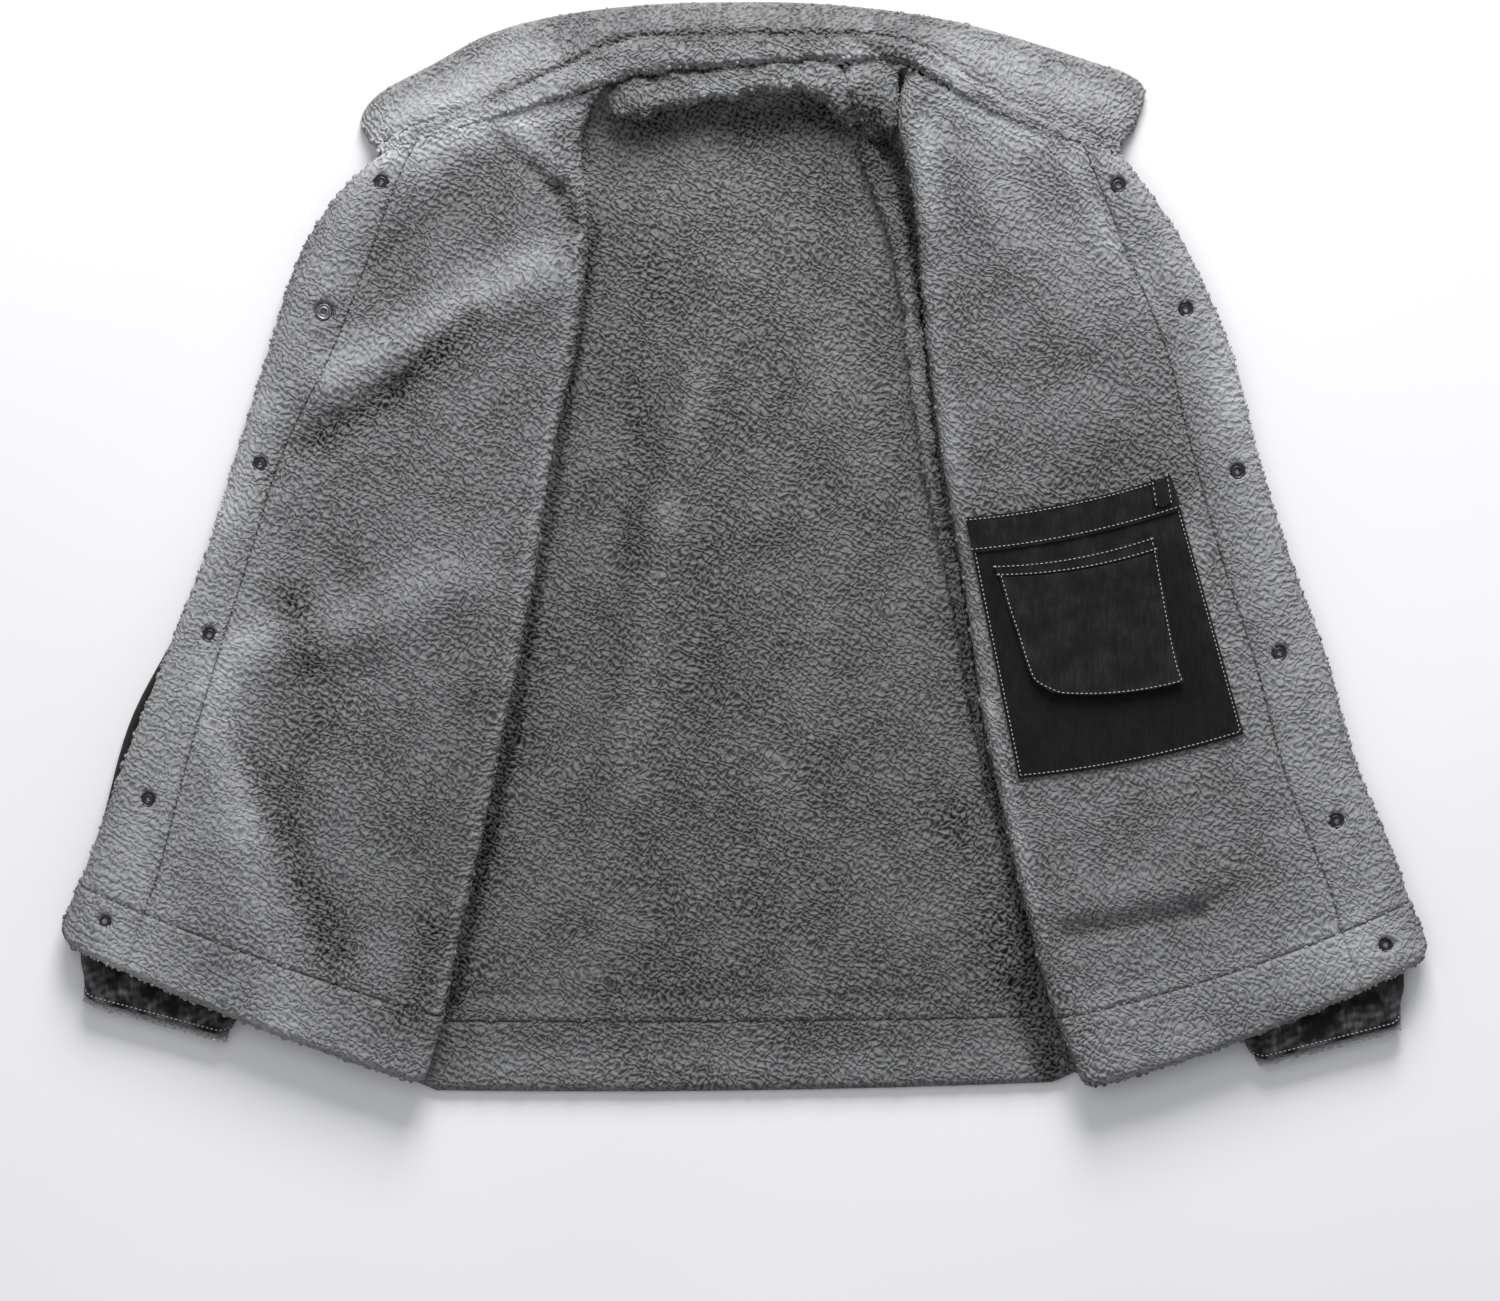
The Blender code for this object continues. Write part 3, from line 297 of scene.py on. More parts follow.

# Patches of smoother or curlier pile, and of painted light and shade: lighter, smoother pile above
# zero; darker, curlier pile below. Many paint shade along fold edges, under the neck rolls and in
# troughs, and paint light on ridges, on the fold edges' tops, on the collar's ends and on the
# fringes at the cuffs' mouths.
NAP_AND_SHADE_PATCHES = rows_of(
    Patch,
    (-262, 300, -160, 352, 28, 0.56), (165, 355, 262, 316, 30, 0.48),
    (-60, 388, 110, 386, 16, 0.16), (-255, 284, -130, 312, 14, 0.4),
    (150, 312, 262, 276, 16, 0.3), (-80, 352, 85, 356, 14, 0.25),
    (-100, 322, 70, 336, 12, 0.42), (-70, 303, 70, 308, 12, -0.3),
    (-272, 262, -385, 35, 30, 0.38), (-380, 35, -445, -275, 48, 0.48),
    (300, 250, 368, 100, 28, 0.44), (362, 100, 446, -285, 48, 0.4),
    (165, 290, 262, 195, 46, 0.28), (-205, 308, -150, 318, 18, 0.3),
    (-245, 270, -190, 262, 14, 0.16), (86, 348, 106, 325, 16, 0.4),
    (5, 300, 45, 305, 12, -0.32), (85, 283, 108, 255, 8, -0.5),
    (-174, 290, -158, 276, 5, -0.2), (-153, 272, -134, 255, 4.5, -0.38),
    (-134, 255, -119, 229, 4.5, -0.45), (-160, 300, -118, 262, 10, 0.3),
    (-135, 345, -108, 335, 14, 0.42), (-225, 277, -170, 285, 20, 0.22),
    (-146, 205, -295, 125, 20, 0.46), (-372, -100, -360, -190, 20, 0.38),
    (-352, -215, -325, -335, 22, 0.34), (-196, 162, -249, 112, 8, -0.24),
    (-249, 112, -318, 72, 7, -0.16), (-345, 105, -325, 85, 12, 0.14),
    (-175, 276, -262, 208, 14, -0.22), (-205, -15, -345, -70, 24, 0.32),
    (-190, -110, -232, -330, 30, -0.22), (-362, -135, -325, -208, 12, -0.1),
    (-325, -208, -292, -285, 14, -0.14), (-322, -34, -312, -82, 18, -0.26),
    (-280, -20, -262, -35, 20, -0.22), (-325, -100, -235, -215, 50, -0.08),
    (-272, -91, -297, -165, 12, 0.16), (-375, -90, -345, -55, 16, 0.2),
    (-268, -300, -268, -320, 20, 0.16), (220, 20, 290, 60, 40, -0.2),
    (230, -276.5, 325, -262, 5.5, -0.18), (325, -262, 350, -242, 5.5, -0.16),
    (235, -345, 440, -285, 30, 0.34), (-460, -300, -240, -385, 22, 0.3),
    (-60, -310, 60, -100, 85, -0.05), (-30, 270, 60, 100, 60, 0.16),
    (-200, -372, 200, -372, 16, 0.22), (-31, 123, -55, 18, 11, 0.16),
    (-55, 18, -86, -173, 13, 0.18), (-52, 123, -76, 18, 11, -0.16),
    (-76, 18, -107, -173, 13, -0.16), (20, 150, 60, 60, 16, -0.12),
    (50, -60, 20, -220, 18, 0.12), (-105.5, 232, -132.5, 60, 3.6, -0.55),
    (-132.5, 60, -162.5, -120, 3.8, -0.65), (-162.5, -120, -209, -330, 4, -0.8),
    (117, 250, 137.5, 67, 4.6, -0.4), (126, 190, 142, 70, 14, 0.32),
    (127, 304, 132, 240, 13, 0.42), (91.5, 309, 109, 278, 5, -1.1),
    (109, 278, 118.5, 234, 5, -1.1), (118.5, 234, 127, 160, 3.6, -0.9),
    (236, 272, 262, 215, 7, 0.25), (262, 215, 296, 165, 7, 0.22),
    (140, 306, 165, 298, 9, -0.12), (122, 348, 150, 328, 12, 0.36),
    (315, 10, 334, -100, 13, 0.24), (168, -110, 200, -250, 12, 0.34),
    (250, -374, 330, -352, 12, 0.2), (10, 338, 70, 330, 10, 0.22),
    (135.5, 67, 164.5, -116, 4, -0.5), (164.5, -116, 205.5, -298, 4.2, -0.65),
    (-116.5, 232, -143.5, 60, 4.5, 0.2), (-143.5, 60, -173.5, -120, 4.5, 0.25),
    (-173.5, -120, -219, -330, 4.5, 0.3), (146.5, 67, 175.5, -116, 4.5, 0.2),
    (175.5, -116, 216.5, -298, 4.5, 0.25), (-476, -327, -371, -358, 6, 0.95),
    (474, -346, 367, -375, 6, 0.95), (199, -312, 218, -375, 11.5, -0.8),
    (-236.5, 294.5, -174, 324, 4, -0.35), (-174, 324, -93, 363, 4, -0.5),
    (-93, 365.5, 76, 367, 4, -0.55), (76, 367, 127, 340, 4, -0.5),
    (127, 340, 230, 290, 4, -0.3))

# Where the curls part in deep crevices, whose painted shade then runs deeper; most lie in troughs,
# along fold edges and over the back, where shade falls.
MOST_CURLY_AND_SHADED = 0.60
CURLY_AND_SHADED_PATCHES = rows_of(
    Patch,
    (148, -60, 176, -160, 10, 0.35), (178, -160, 216, -330, 14, 0.5),
    (216, -330, 252, -388, 22, 0.6), (-222, -270, -240, -335, 12, 0.5),
    (-196, 162, -249, 112, 11, 0.6), (-249, 112, -340, 50, 10, 0.6),
    (-368, -125, -332, -205, 10, 0.6), (-332, -205, -292, -290, 14, 0.6),
    (-322, -34, -312, -82, 12, 0.55), (-297, -288, -264, -318, 10, 0.55),
    (-272, -91, -330, -170, 30, 0.25), (0, 250, 0, -360, 120, 0.28),
    (-150, -50, -205, -330, 14, 0.4), (150, -200, 190, -310, 20, 0.45),
    (-100, 320, 85, 333, 24, 0.45), (92, 345, 100, 300, 16, 0.45),
    (-68, 200, -85, -20, 10, 0.35), (-130, 290, -118, 200, 10, 0.45))

# ---- sleeves and cuffs
SLEEVE_THICK = 0.0170
CUFF_THICK = 0.0185
CUFF_DENIM = 0.0022
CUFF_UPPER = 0.55
CUFF_UPPER_RISE = 0.3
CUFF_PUCKER = 0.0007
CUFF_WEAR = 0.50
CUFF_WEAR_SPREAD = 0.55
CUFF_RIM = 0.94
CUFF_RIM_WEAR = 0.5
CUFF_STITCHES = (0.95, 0.30)
STITCHED_ABOVE = 0.6
PUCKER_PITCHES = (0.0098, 0.0068, 0.0047)
PUCKER_START = 0.35
PUCKER_RISE = 0.4
PUCKER_END = 0.06
MOUTH_CORNER = 0.011
MOUTH_FROM = 0.45
MOUTH_RISE = 0.5
LINING_SLIT = 0.0012
LINING_FRINGE = 0.0052
LINING_NEAR = 1.2
LINING_PILE_RISE = 0.8

SLEEVE_ROWS = {
    "left": rows_of(
        SleeveRow,
        (-214.5, 255, -274, 246), (-196.5, 200, -303, 200),
        (-200.5, 130, -333, 138), (-218.5, 60, -355, 68),
        (-237.5, 5, -379, -2), (-262, -60, -405, -56),
        (-292, -130, -440, -122), (-330, -200, -459, -188),
        (-346, -258, -471, -238), (-350, -291, -473, -261)),
    "right": rows_of(
        SleeveRow,
        (215.5, 255, 276, 246), (197.5, 200, 308, 198),
        (201.5, 130, 339, 132), (219.5, 60, 360, 60),
        (238.5, 5, 380, -8), (264, -60, 404, -70),
        (292, -130, 427, -140), (322, -205, 449, -206),
        (340, -270, 467, -258), (344, -314, 471, -283)),
}

CUFF_ROWS = {
    "left": rows_of(
        SleeveRow,
        (-349, -293.5, -475, -263), (-359, -324, -477, -296),
        (-370, -352, -477, -323)),
    "right": rows_of(
        SleeveRow,
        (343, -316.5, 473, -285), (354, -344, 474, -316),
        (366, -370, 474, -342)),
}

# ---- collar and neck
COLLAR_ROWS = rows_of(
    CollarRow,
    (-262, 281.5, -270, 291, 6, 17), (-252, 284.5, -276, 307, 8, 22),
    (-238, 288.5, -263, 326, 10, 27), (-205, 298, -225, 347, 12, 31),
    (-168, 308.5, -181, 370, 15, 34), (-125, 321.5, -130, 383, 20, 36),
    (-80, 336.5, -70, 390, 25, 37), (-20, 342, -10, 392, 23, 37),
    (35, 346.5, 50, 391, 19, 36), (85, 347.5, 110, 385, 17, 36),
    (122, 342.5, 160, 376, 15, 35), (165, 317, 210, 362, 12, 34),
    (205, 298.5, 250, 349, 10, 31), (240, 288, 276, 340, 9, 26),
    (256, 284.5, 288, 327, 8, 21), (268, 282, 280, 299, 6, 16))

COLLAR_LIFTS = rows_of(
    CollarLift,
    (0, 12.5), (0.22, 13), (0.48, 8.5), (0.74, 3), (1, 0))

COLLAR_CREASES = rows_of(
    Crease,
    (-250, 302, -209, 316, 10, 2.4), (-222, 322, -205, 345, 12, -1.6),
    (-150, 345, -140, 368, 16, 2), (190, 330, 232, 340, 14, -1.8),
    (60, 372, 120, 370, 14, 1.4))

HIGHEST_ROLL = max(row.roll_top for row in COLLAR_ROWS)
COLLAR_EDGE_SHARE = 0.12
COLLAR_SHELL_END = 0.96
COLLAR_CREASE_FADE = 0.1

ROLL_SQUARENESS = 0.62
ROLL_FLAT = 0.93
ROLL_SWELL = 3.6
ROLL_PILE_RISE = 0.005
ROLL_ROWS = {
    "neck_facing": rows_of(
        RollRow,
        (-97, 316.5, 10, 10), (-90, 318, 20, 18), (-76, 321.5, 31, 23),
        (-62, 325, 24, 20), (-48, 327.5, 27, 24), (-29, 330, 20, 22),
        (-10, 332.5, 23, 25), (8, 335, 18, 22), (25, 337, 22, 25),
        (40, 337.5, 18, 23), (54, 336, 27, 25), (67, 326.5, 24, 22),
        (75, 312, 20, 17), (78, 303, 9, 9)),
    "shoulder_roll_right": rows_of(
        RollRow,
        (86.5, 348, 36, 21), (89.5, 339, 40, 25), (93, 322, 33, 25),
        (97.5, 303, 23, 19), (100, 291, 10, 10)),
    "side_ridge_right": rows_of(
        RollRow,
        (85, 292, 6, 6), (90, 282, 12, 9), (99, 260, 14, 10),
        (110, 225, 13, 10), (119, 178, 12, 10), (126.5, 109, 12, 9),
        (136.5, 40, 10, 8), (149, -15, 8, 6), (157.5, -60, 6, 5),
        (168, -130, 5, 4), (179.5, -190, 3, 2)),
}

ROLL_GRIDS = {"neck_facing": RollGrid(130, ROLL_SIDES),
              "shoulder_roll_right": RollGrid(44, ROLL_SIDES),
              "side_ridge_right": RollGrid(320, 20)}

SEAM_TUFT_WIDTH = 0.0060
SEAM_TUFT_STATIONS = 240
SEAM_TUFT_INSET = 0.6
SEAM_TUFT_DENSITY = 2
SEAM_TUFT_SIZE = 1.25
SEAM_TUFT_SEED = 40
NECK_TUFT_BACK = 0.0010
NECK_TUFT_SUNK = 0.0022
NECK_TUFT_LEFT = -0.104
NECK_TUFT_RIGHT = 0.054

# ---- inner pocket
POCKET_LIFT = 0.0008
POCKET_BOW = -0.0045
POCKET_WEAR = 0.04
BAND_THICK = 0.0012
BAND_SHARE = 0.135
FLAP_PROUD = 0.0034
BEVEL_SHARE = 0.3
ON_PATCH = POCKET_LIFT + DENIM + LAY_GAP
ON_BAND = ON_PATCH + BAND_THICK + LAY_GAP
LAID_FROM, LAID_TO, LAID_ROWS = 0.2, 0.8, 160
LAID_ON_FACING = 10
RAY_FROM = 0.2
RIPPLE_DOWN = 0.0135
RIPPLE_ACROSS = 0.019
RIPPLE_REACH = 0.09
RIPPLE_INSIDE = 0.35
PATH_STEPS = 60

PATCH_LINES = rows_of(Quad, (158, 20.5, 305, 51), (196, -166, 357, -134))
TAB_LINES = rows_of(Quad, (289.5, 50, 303.5, 53), (292.5, 31, 306.5, 34))
WELT_LINES = rows_of(Quad, (178, -13.5, 291, 7), (181.5, -21.2, 294.5, -3))
FLAP_ROWS = rows_of(
    Quad,
    (182, -21.9, 295, -3.7), (188, -43, 299, -27), (195, -64, 303, -50),
    (201, -83, 307, -71), (207, -96, 310.5, -86), (220, -105, 314, -97))

# Painted shadow of the flap on the patch below and beside it, and painted shade over the patch's
# lower part and left side.
FLAP_PAINTED_SHADOWS = rows_of(
    Patch,
    (216, -110, 318, -102, 13, -0.85), (302, -10, 320, -96, 9, -0.6),
    (178, -22, 204, -100, 7, -0.4), (200, -150, 350, -125, 30, -0.5),
    (165, 5, 190, -150, 16, -0.4))

# ---- snaps
SNAP_NUMBERS = range(1, 7)
SNAP_SIDES = 28
SNAP_PROFILE = rows_of(
    SnapPoint,
    (1.9, 0.2), (2.1, 0.9), (2.4, 1.2), (3.1, 1.3), (3.5, 0.9), (4.1, 0.8),
    (4.5, 1.3), (5, 1.6), (5.6, 1.4), (6, 0.7), (5.9, 0), (2.2, 0))

WELL_RADII = {"left": 0.0036, "right": 0.0042}
OPEN_WELL = 0.0060
WELL_SLOPE = 0.0034
WELL_DEPTH = 0.0043
PALE_SNAP = ("left", 2)
PALE_TONE = 4.0

# ---- thread
STITCH_PITCH = 0.0033
STITCH_FILL = 0.72
THREAD_RADIUS = 0.00046

# ---- floor, lights and camera
FLOOR_REACH = 4
FLOOR_CLOUD_SCALE = 3.0
# The floor's colour is painted lighter towards -Y, where the key light is weaker.
FLOOR_PAINTED_LIGHT = (-0.6, 0.45, 1.12, 1.0)
FLOOR_CLOUDS = (0.3, 0.7, 0.985, 1.015)
KEY_LIGHT = ((0.25, 2.6, 1.6), 1.5)
TOP_LIGHT = ((-0.5, 0.3, 2.2), 1.6)
TOP_SHARE = 0.07
SKY_COLOUR = (0.95, 0.97, 1.0, 1.0)
SENSOR_WIDTH = 36.0
VIEW_CENTRE = (0.004, -0.0745)


# ==== reading the tables
def read_rows(rows, places, key=None):
    """Smooth readings of a table at many places, as one named row of arrays."""
    table = np.array(rows, float)
    keys = np.arange(len(rows), dtype=float)
    if key:
        keys = table[:, rows[0]._fields.index(key)]
    step = np.clip(np.searchsorted(keys, places, side="right") - 1, 0, len(keys) - 2)
    share = ((places - keys[step]) / (keys[step + 1] - keys[step]))[:, None]
    padded = np.vstack([2 * table[0] - table[1], table, 2 * table[-1] - table[-2]])
    before, near, far, after = (padded[step + offset] for offset in range(4))
    values = 0.5 * (2 * near + (far - before) * share
                    + (2 * before - 5 * near + 4 * far - after) * share ** 2
                    + (3 * near - before - 3 * far + after) * share ** 3)
    return type(rows[0])(*values.T)


def smooth_step(value):
    """A soft ramp from 0 to 1."""
    share = np.clip(value, 0.0, 1.0)
    return share * share * (3 - 2 * share)


def flat_points(x, y):
    """Points on the level, from their x and y."""
    return np.stack([x, y], 1)


def span(near, far):
    """The widths and level directions from one line's points to another's."""
    width = np.linalg.norm(far - near, axis=1)
    return width, (far - near) / width[:, None]


def sideways(x, y):
    """The level direction to the left of a line, at each of its points."""
    along = flat_points(np.gradient(x), np.gradient(y))
    along /= np.linalg.norm(along, axis=1)[:, None]
    return flat_points(-along[:, 1], along[:, 0])


def round_off(radius, *distances):
    """How far rounded edges lower a surface, from the distances to those edges."""
    inside = sum(np.clip(radius - distance, 0.0, radius) ** 2 for distance in distances)
    return radius - np.sqrt(radius ** 2 - np.minimum(inside, radius ** 2))


def seam_groove(*distances):
    """How deep the troughs along seams are, from the distances to those seams."""
    return round_off(SEAM_ROUND, *distances) * SEAM_DEPTH / SEAM_ROUND


def edge_pile(sunk):
    """How far pile stands on a rounded edge: less towards its foot."""
    share = (sunk / EDGE_ROUND - PRESSED_FROM) / (1 - PRESSED_FROM)
    return 1 - EDGE_PRESSED * smooth_step(share)


def crease_lift(creases, x, y):
    """How far soft ridges and troughs raise or lower cloth, or how patches change its tone."""
    lift = np.zeros(np.shape(x))
    for x0, y0, x1, y1, reach, most in creases:
        along_x, along_y = x1 - x0, y1 - y0
        share = (x - x0) * along_x + (y - y0) * along_y
        share = np.clip(share / (along_x ** 2 + along_y ** 2), 0.0, 1.0)
        aside = np.hypot(x - x0 - share * along_x, y - y0 - share * along_y)
        lift += most * np.exp(-(aside / reach) ** 2)
    return lift


def edge_shares(steps):
    """Distances from a rounded edge that are even steps round it, from the edge inward."""
    return EDGE_ROUND * (1 - np.cos(np.linspace(0.0, math.pi / 2, steps, endpoint=False)))


# ==== meshes
def quads(grid):
    """Four-sided faces over a grid of vertex numbers."""
    corners = (grid[:-1, :-1], grid[:-1, 1:], grid[1:, 1:], grid[1:, :-1])
    return np.stack(corners, -1).reshape(-1, 4).tolist()


def wall_faces(rows, columns, step):
    """Faces of a wall: a fine outer grid, an inner grid with every step-th line, and rims."""
    outer = np.arange(rows * columns).reshape(rows, columns)
    inner_rows = (rows - 1) // step + 1
    inner_columns = (columns - 1) // step + 1
    inner = np.arange(inner_rows * inner_columns).reshape(inner_rows, inner_columns)
    inner += rows * columns
    faces = quads(outer) + quads(inner.T)
    borders = ((outer[0], inner[0]), (outer[-1], inner[-1]),
               (outer[:, 0], inner[:, 0]), (outer[:, -1], inner[:, -1]))
    for fine, plain in borders:
        for number in range(len(plain) - 1):
            run = fine[number * step:(number + 1) * step + 1].tolist()
            faces.append(run + [int(plain[number + 1]), int(plain[number])])
    return faces


def put_in_scene(name, data):
    """A new object at the origin."""
    piece = bpy.data.objects.new(name, data)
    bpy.context.scene.collection.objects.link(piece)
    return piece


def new_piece(name, points, faces):
    """A smooth-shaded object at the origin, with its faces turned out."""
    mesh = bpy.data.meshes.new(name)
    mesh.from_pydata(points, [], faces)
    build = bmesh.new()
    build.from_mesh(mesh)
    bmesh.ops.recalc_face_normals(build, faces=build.faces)
    build.to_mesh(mesh)
    build.free()
    mesh.shade_smooth()
    return put_in_scene(name, mesh)


def vertex_values(piece, name="co"):
    """A piece's points, or its normals, as an array with three columns."""
    vertices = piece.data.vertices
    values = np.empty(len(vertices) * 3, np.float32)
    vertices.foreach_get(name, values)
    return values.reshape(-1, 3).astype(float)


def outer_values(piece, values):
    """Numbers for a piece's outer side, its first vertices, with none for the rest."""
    spread = np.zeros(len(piece.data.vertices))
    spread[:np.size(values)] = np.ravel(values)
    return spread


def set_attribute(piece, name, values, kind="FLOAT"):
    """Store a number or a vector for each vertex."""
    attribute = piece.data.attributes.new(name, kind, "POINT")
    field = "value" if kind == "FLOAT" else "vector"
    attribute.data.foreach_set(field, np.asarray(values, np.float32).ravel())


def wall_piece(name, outer, inner, step=1):
    """A closed wall between an outer grid of points and an inner one."""
    faces = wall_faces(*outer.shape[:2], step)
    points = np.vstack([outer.reshape(-1, 3), inner.reshape(-1, 3)])
    return new_piece(name, points.tolist(), faces)


def ring_piece(name, rings, close_rows):
    """A piece round a loop in each row: a tube's wall when the rows close, a roll when not."""
    rows, sides = rings.shape[:2]
    numbers = np.arange(rows * sides).reshape(rows, sides)
    grid = np.hstack([numbers, numbers[:, :1]])
    if close_rows:
        grid = np.vstack([grid, grid[:1]])
    faces = quads(grid)
    if not close_rows:
        faces += [numbers[0][::-1].tolist(), numbers[-1].tolist()]
    return new_piece(name, rings.reshape(-1, 3).tolist(), faces)


def settle(piece):
    """Turn a piece's modifiers into its plain mesh."""
    depsgraph = bpy.context.evaluated_depsgraph_get()
    mesh = bpy.data.meshes.new_from_object(piece.evaluated_get(depsgraph),
                                           preserve_all_data_layers=True, depsgraph=depsgraph)
    piece.modifiers.clear()
    old = piece.data
    piece.data = mesh
    bpy.data.meshes.remove(old)
    mesh.name = piece.name


# ==== node trees
class NodeMaker:
    """Short calls that add nodes to one tree and link them."""

    def __init__(self, tree):
        self.tree = tree
        self.geometry = tree.bl_idname == "GeometryNodeTree"

    def feed(self, socket, value):
        """Link a socket to another one, or set its value."""
        if isinstance(value, bpy.types.NodeSocket):
            self.tree.links.new(value, socket)
        else:
            socket.default_value = value

    def add(self, kind, inputs=None, **settings):
        """A node's outputs, once it has its settings and its inputs, by name or number."""
        node = self.tree.nodes.new(kind)
        for name, value in settings.items():
            setattr(node, name, value)
        for name, value in (inputs or {}).items():
            self.feed(node.inputs[name], value)
        return node.outputs

    def math(self, operation, *values):
        """A Math node's result."""
        return self.add("ShaderNodeMath", dict(enumerate(values)), operation=operation)[0]

    def times(self, product, *others):
        """The product of some values."""
        for other in others:
            product = self.math("MULTIPLY", product, other)
        return product

    def vector(self, operation, *values):
        """A Vector Math node's result."""
        outputs = self.add("ShaderNodeVectorMath", dict(enumerate(values)), operation=operation)
        return outputs["Value" if operation == "DOT_PRODUCT" else "Vector"]

    def scaled(self, vector, scale):
        """A vector times a number."""
        return self.add("ShaderNodeVectorMath", {0: vector, "Scale": scale},
                        operation="SCALE")[0]

    def noise(self, place, scale, detail=1.0, output="Fac"):
        """A Noise Texture's value over a place."""
        inputs = {"Vector": place, "Scale": scale, "Detail": detail}
        return self.add("ShaderNodeTexNoise", inputs)[output]

    def remap(self, value, limits):
        """A Map Range node's result, over a range of four numbers."""
        return self.add("ShaderNodeMapRange", {0: value, **dict(enumerate(limits, 1))})[0]

    def attribute(self, name, output="Fac"):
        """What a material reads of a stored attribute."""
        return self.add("ShaderNodeAttribute", attribute_name=name)[output]

    def stored(self, name):
        """What a geometry tree reads of a stored number."""
        return self.add("GeometryNodeInputNamedAttribute", {"Name": name}, data_type="FLOAT")[0]


def curl_height(maker, place, spacing, twist, twist_scale):
    """The pile's curl, 0 to 1: two runs of waves whose phases a noise twists."""
    turns = maker.math("DIVIDE", 2 * math.pi, spacing)
    drift = maker.noise(place, DRIFT_SCALE, output="Color")
    drift = maker.vector("SUBTRACT", drift, (0.5, 0.5, 0.5))
    place = maker.vector("ADD", place, maker.scaled(drift, DRIFT))
    kind = "FunctionNodeSeparateColor" if maker.geometry else "ShaderNodeSeparateColor"
    channels = maker.add(kind, {0: maker.noise(place, twist_scale, output="Color")})
    waves = []
    for number, (way, phase) in enumerate(zip(CURL_WAYS, CURL_PHASES)):
        length = math.sqrt(sum(part ** 2 for part in way))
        along = maker.vector("DOT_PRODUCT", place, tuple(part / length for part in way))
        start = maker.math("MULTIPLY_ADD", channels[number], twist, phase)
        waves.append(maker.math("SINE", maker.math("MULTIPLY_ADD", along, turns, start)))
    return maker.math("MULTIPLY_ADD", maker.math("ADD", *waves), 0.25, 0.5)


def pile_nodes(maker, given):
    """The curly pile: tufts and creases raised over a fleece wall's outer side."""
    place = maker.add("GeometryNodeInputPosition")[0]
    rest = maker.vector("ADD", place, given["Shift"])
    curl = curl_height(maker, rest, given["Tuft spacing"], given["Twist"], given["Twist scale"])
    meshed = maker.times(given["Tuft height"], PILE_MESHED)
    tuft = maker.times(maker.math("SUBTRACT", curl, PILE_LEAN), meshed)
    broad = maker.noise(rest, SWELL_SCALE)
    swell = maker.times(maker.math("SUBTRACT", broad, 0.5), given["Swell"])
    rise = maker.times(maker.math("ADD", tuft, swell), maker.stored("fluff"))
    kept = maker.add("GeometryNodeStoreNamedAttribute",
                     {"Geometry": given["Geometry"], "Name": "rest", "Value": rest},
                     data_type="FLOAT_VECTOR", domain="POINT")[0]
    offset = maker.scaled(maker.add("GeometryNodeInputNormal")[0], rise)
    return maker.add("GeometryNodeSetPosition", {"Geometry": kept, "Offset": offset})


def tuft_nodes(maker, given):
    """Round tufts that stand out of a fleece piece where it turns over an edge."""
    seed = given["Seed"]
    spread = maker.times(maker.stored("rim"), given["Density"])
    points = maker.add("GeometryNodeDistributePointsOnFaces",
                       {"Mesh": given["Geometry"], "Density": spread, "Seed": seed})
    ball = maker.add("GeometryNodeMeshIcoSphere", {"Radius": given["Radius"], "Subdivisions": 1})
    soft = maker.add("GeometryNodeSetShadeSmooth", {"Geometry": ball[0]})[0]
    size, turn = (
        maker.add("FunctionNodeRandomValue", {0: (low,) * 3, 1: (high,) * 3, "Seed": seed},
                  data_type="FLOAT_VECTOR")[0] for low, high in (TUFT_SIZES, (0.0, FULL_TURN)))
    return maker.add("GeometryNodeInstanceOnPoints", {
        "Points": points["Points"], "Instance": soft, "Rotation": turn, "Scale": size})


def stitch_nodes(maker, given):
    """Short raised stitches laid end to end along a piece's edges."""
    curve = maker.add("GeometryNodeMeshToCurve", {0: given["Geometry"]})[0]
    even = maker.add("GeometryNodeResampleCurve", {"Curve": curve, "Length": given["Pitch"]},
                     mode="LENGTH")[0]
    radius = given["Thread radius"]
    half = maker.times(given["Pitch"], given["Fill"], 0.5)
    size = maker.add("ShaderNodeCombineXYZ", {0: half, 1: radius, 2: radius})[0]
    bead = maker.add("GeometryNodeMeshIcoSphere", {"Radius": 1.0, "Subdivisions": 1})[0]
    tangent = maker.add("GeometryNodeInputTangent")[0]
    turn = maker.add("FunctionNodeAlignRotationToVector", {"Vector": tangent}, axis="X")[0]
    return maker.add("GeometryNodeInstanceOnPoints", {
        "Points": even, "Instance": bead, "Rotation": turn, "Scale": size})


TREES = {
    "fleece_pile": (pile_nodes, {
        "Tuft height": "Float", "Tuft spacing": "Float", "Twist": "Float",
        "Twist scale": "Float", "Swell": "Float", "Shift": "Vector"}),
    "edge_tufts": (tuft_nodes, {"Density": "Float", "Radius": "Float", "Seed": "Int"}),
    "stitch_run": (stitch_nodes, {"Pitch": "Float", "Fill": "Float", "Thread radius": "Float"}),
}


def new_tree(name):
    """A geometry node tree with named inputs, closed with Realize Instances and Set Material."""
    tree = bpy.data.node_groups.new(name, "GeometryNodeTree")
    build, inputs = TREES[name]
    tree.interface.new_socket("Geometry", in_out="INPUT", socket_type="NodeSocketGeometry")
    for label, kind in (*inputs.items(), ("Material", "Material")):
        tree.interface.new_socket(label, in_out="INPUT", socket_type="NodeSocket" + kind)
    tree.interface.new_socket("Geometry", in_out="OUTPUT", socket_type="NodeSocketGeometry")
    maker = NodeMaker(tree)
    given = maker.add("NodeGroupInput")
    real = maker.add("GeometryNodeRealizeInstances", {0: build(maker, given)[0]})[0]
    done = maker.add("GeometryNodeSetMaterial", {"Geometry": real, "Material": given["Material"]})
    maker.add("NodeGroupOutput", {0: done[0]})


def run_tree(piece, name, values):
    """Run a node tree on a piece with its inputs set, and keep the result as its mesh."""
    if name not in bpy.data.node_groups:
        new_tree(name)
    modifier = piece.modifiers.new(name, "NODES")
    modifier.node_group = bpy.data.node_groups[name]
    for item in modifier.node_group.interface.items_tree:
        if item.name in values:
            modifier[item.identifier] = values[item.name]
    settle(piece)


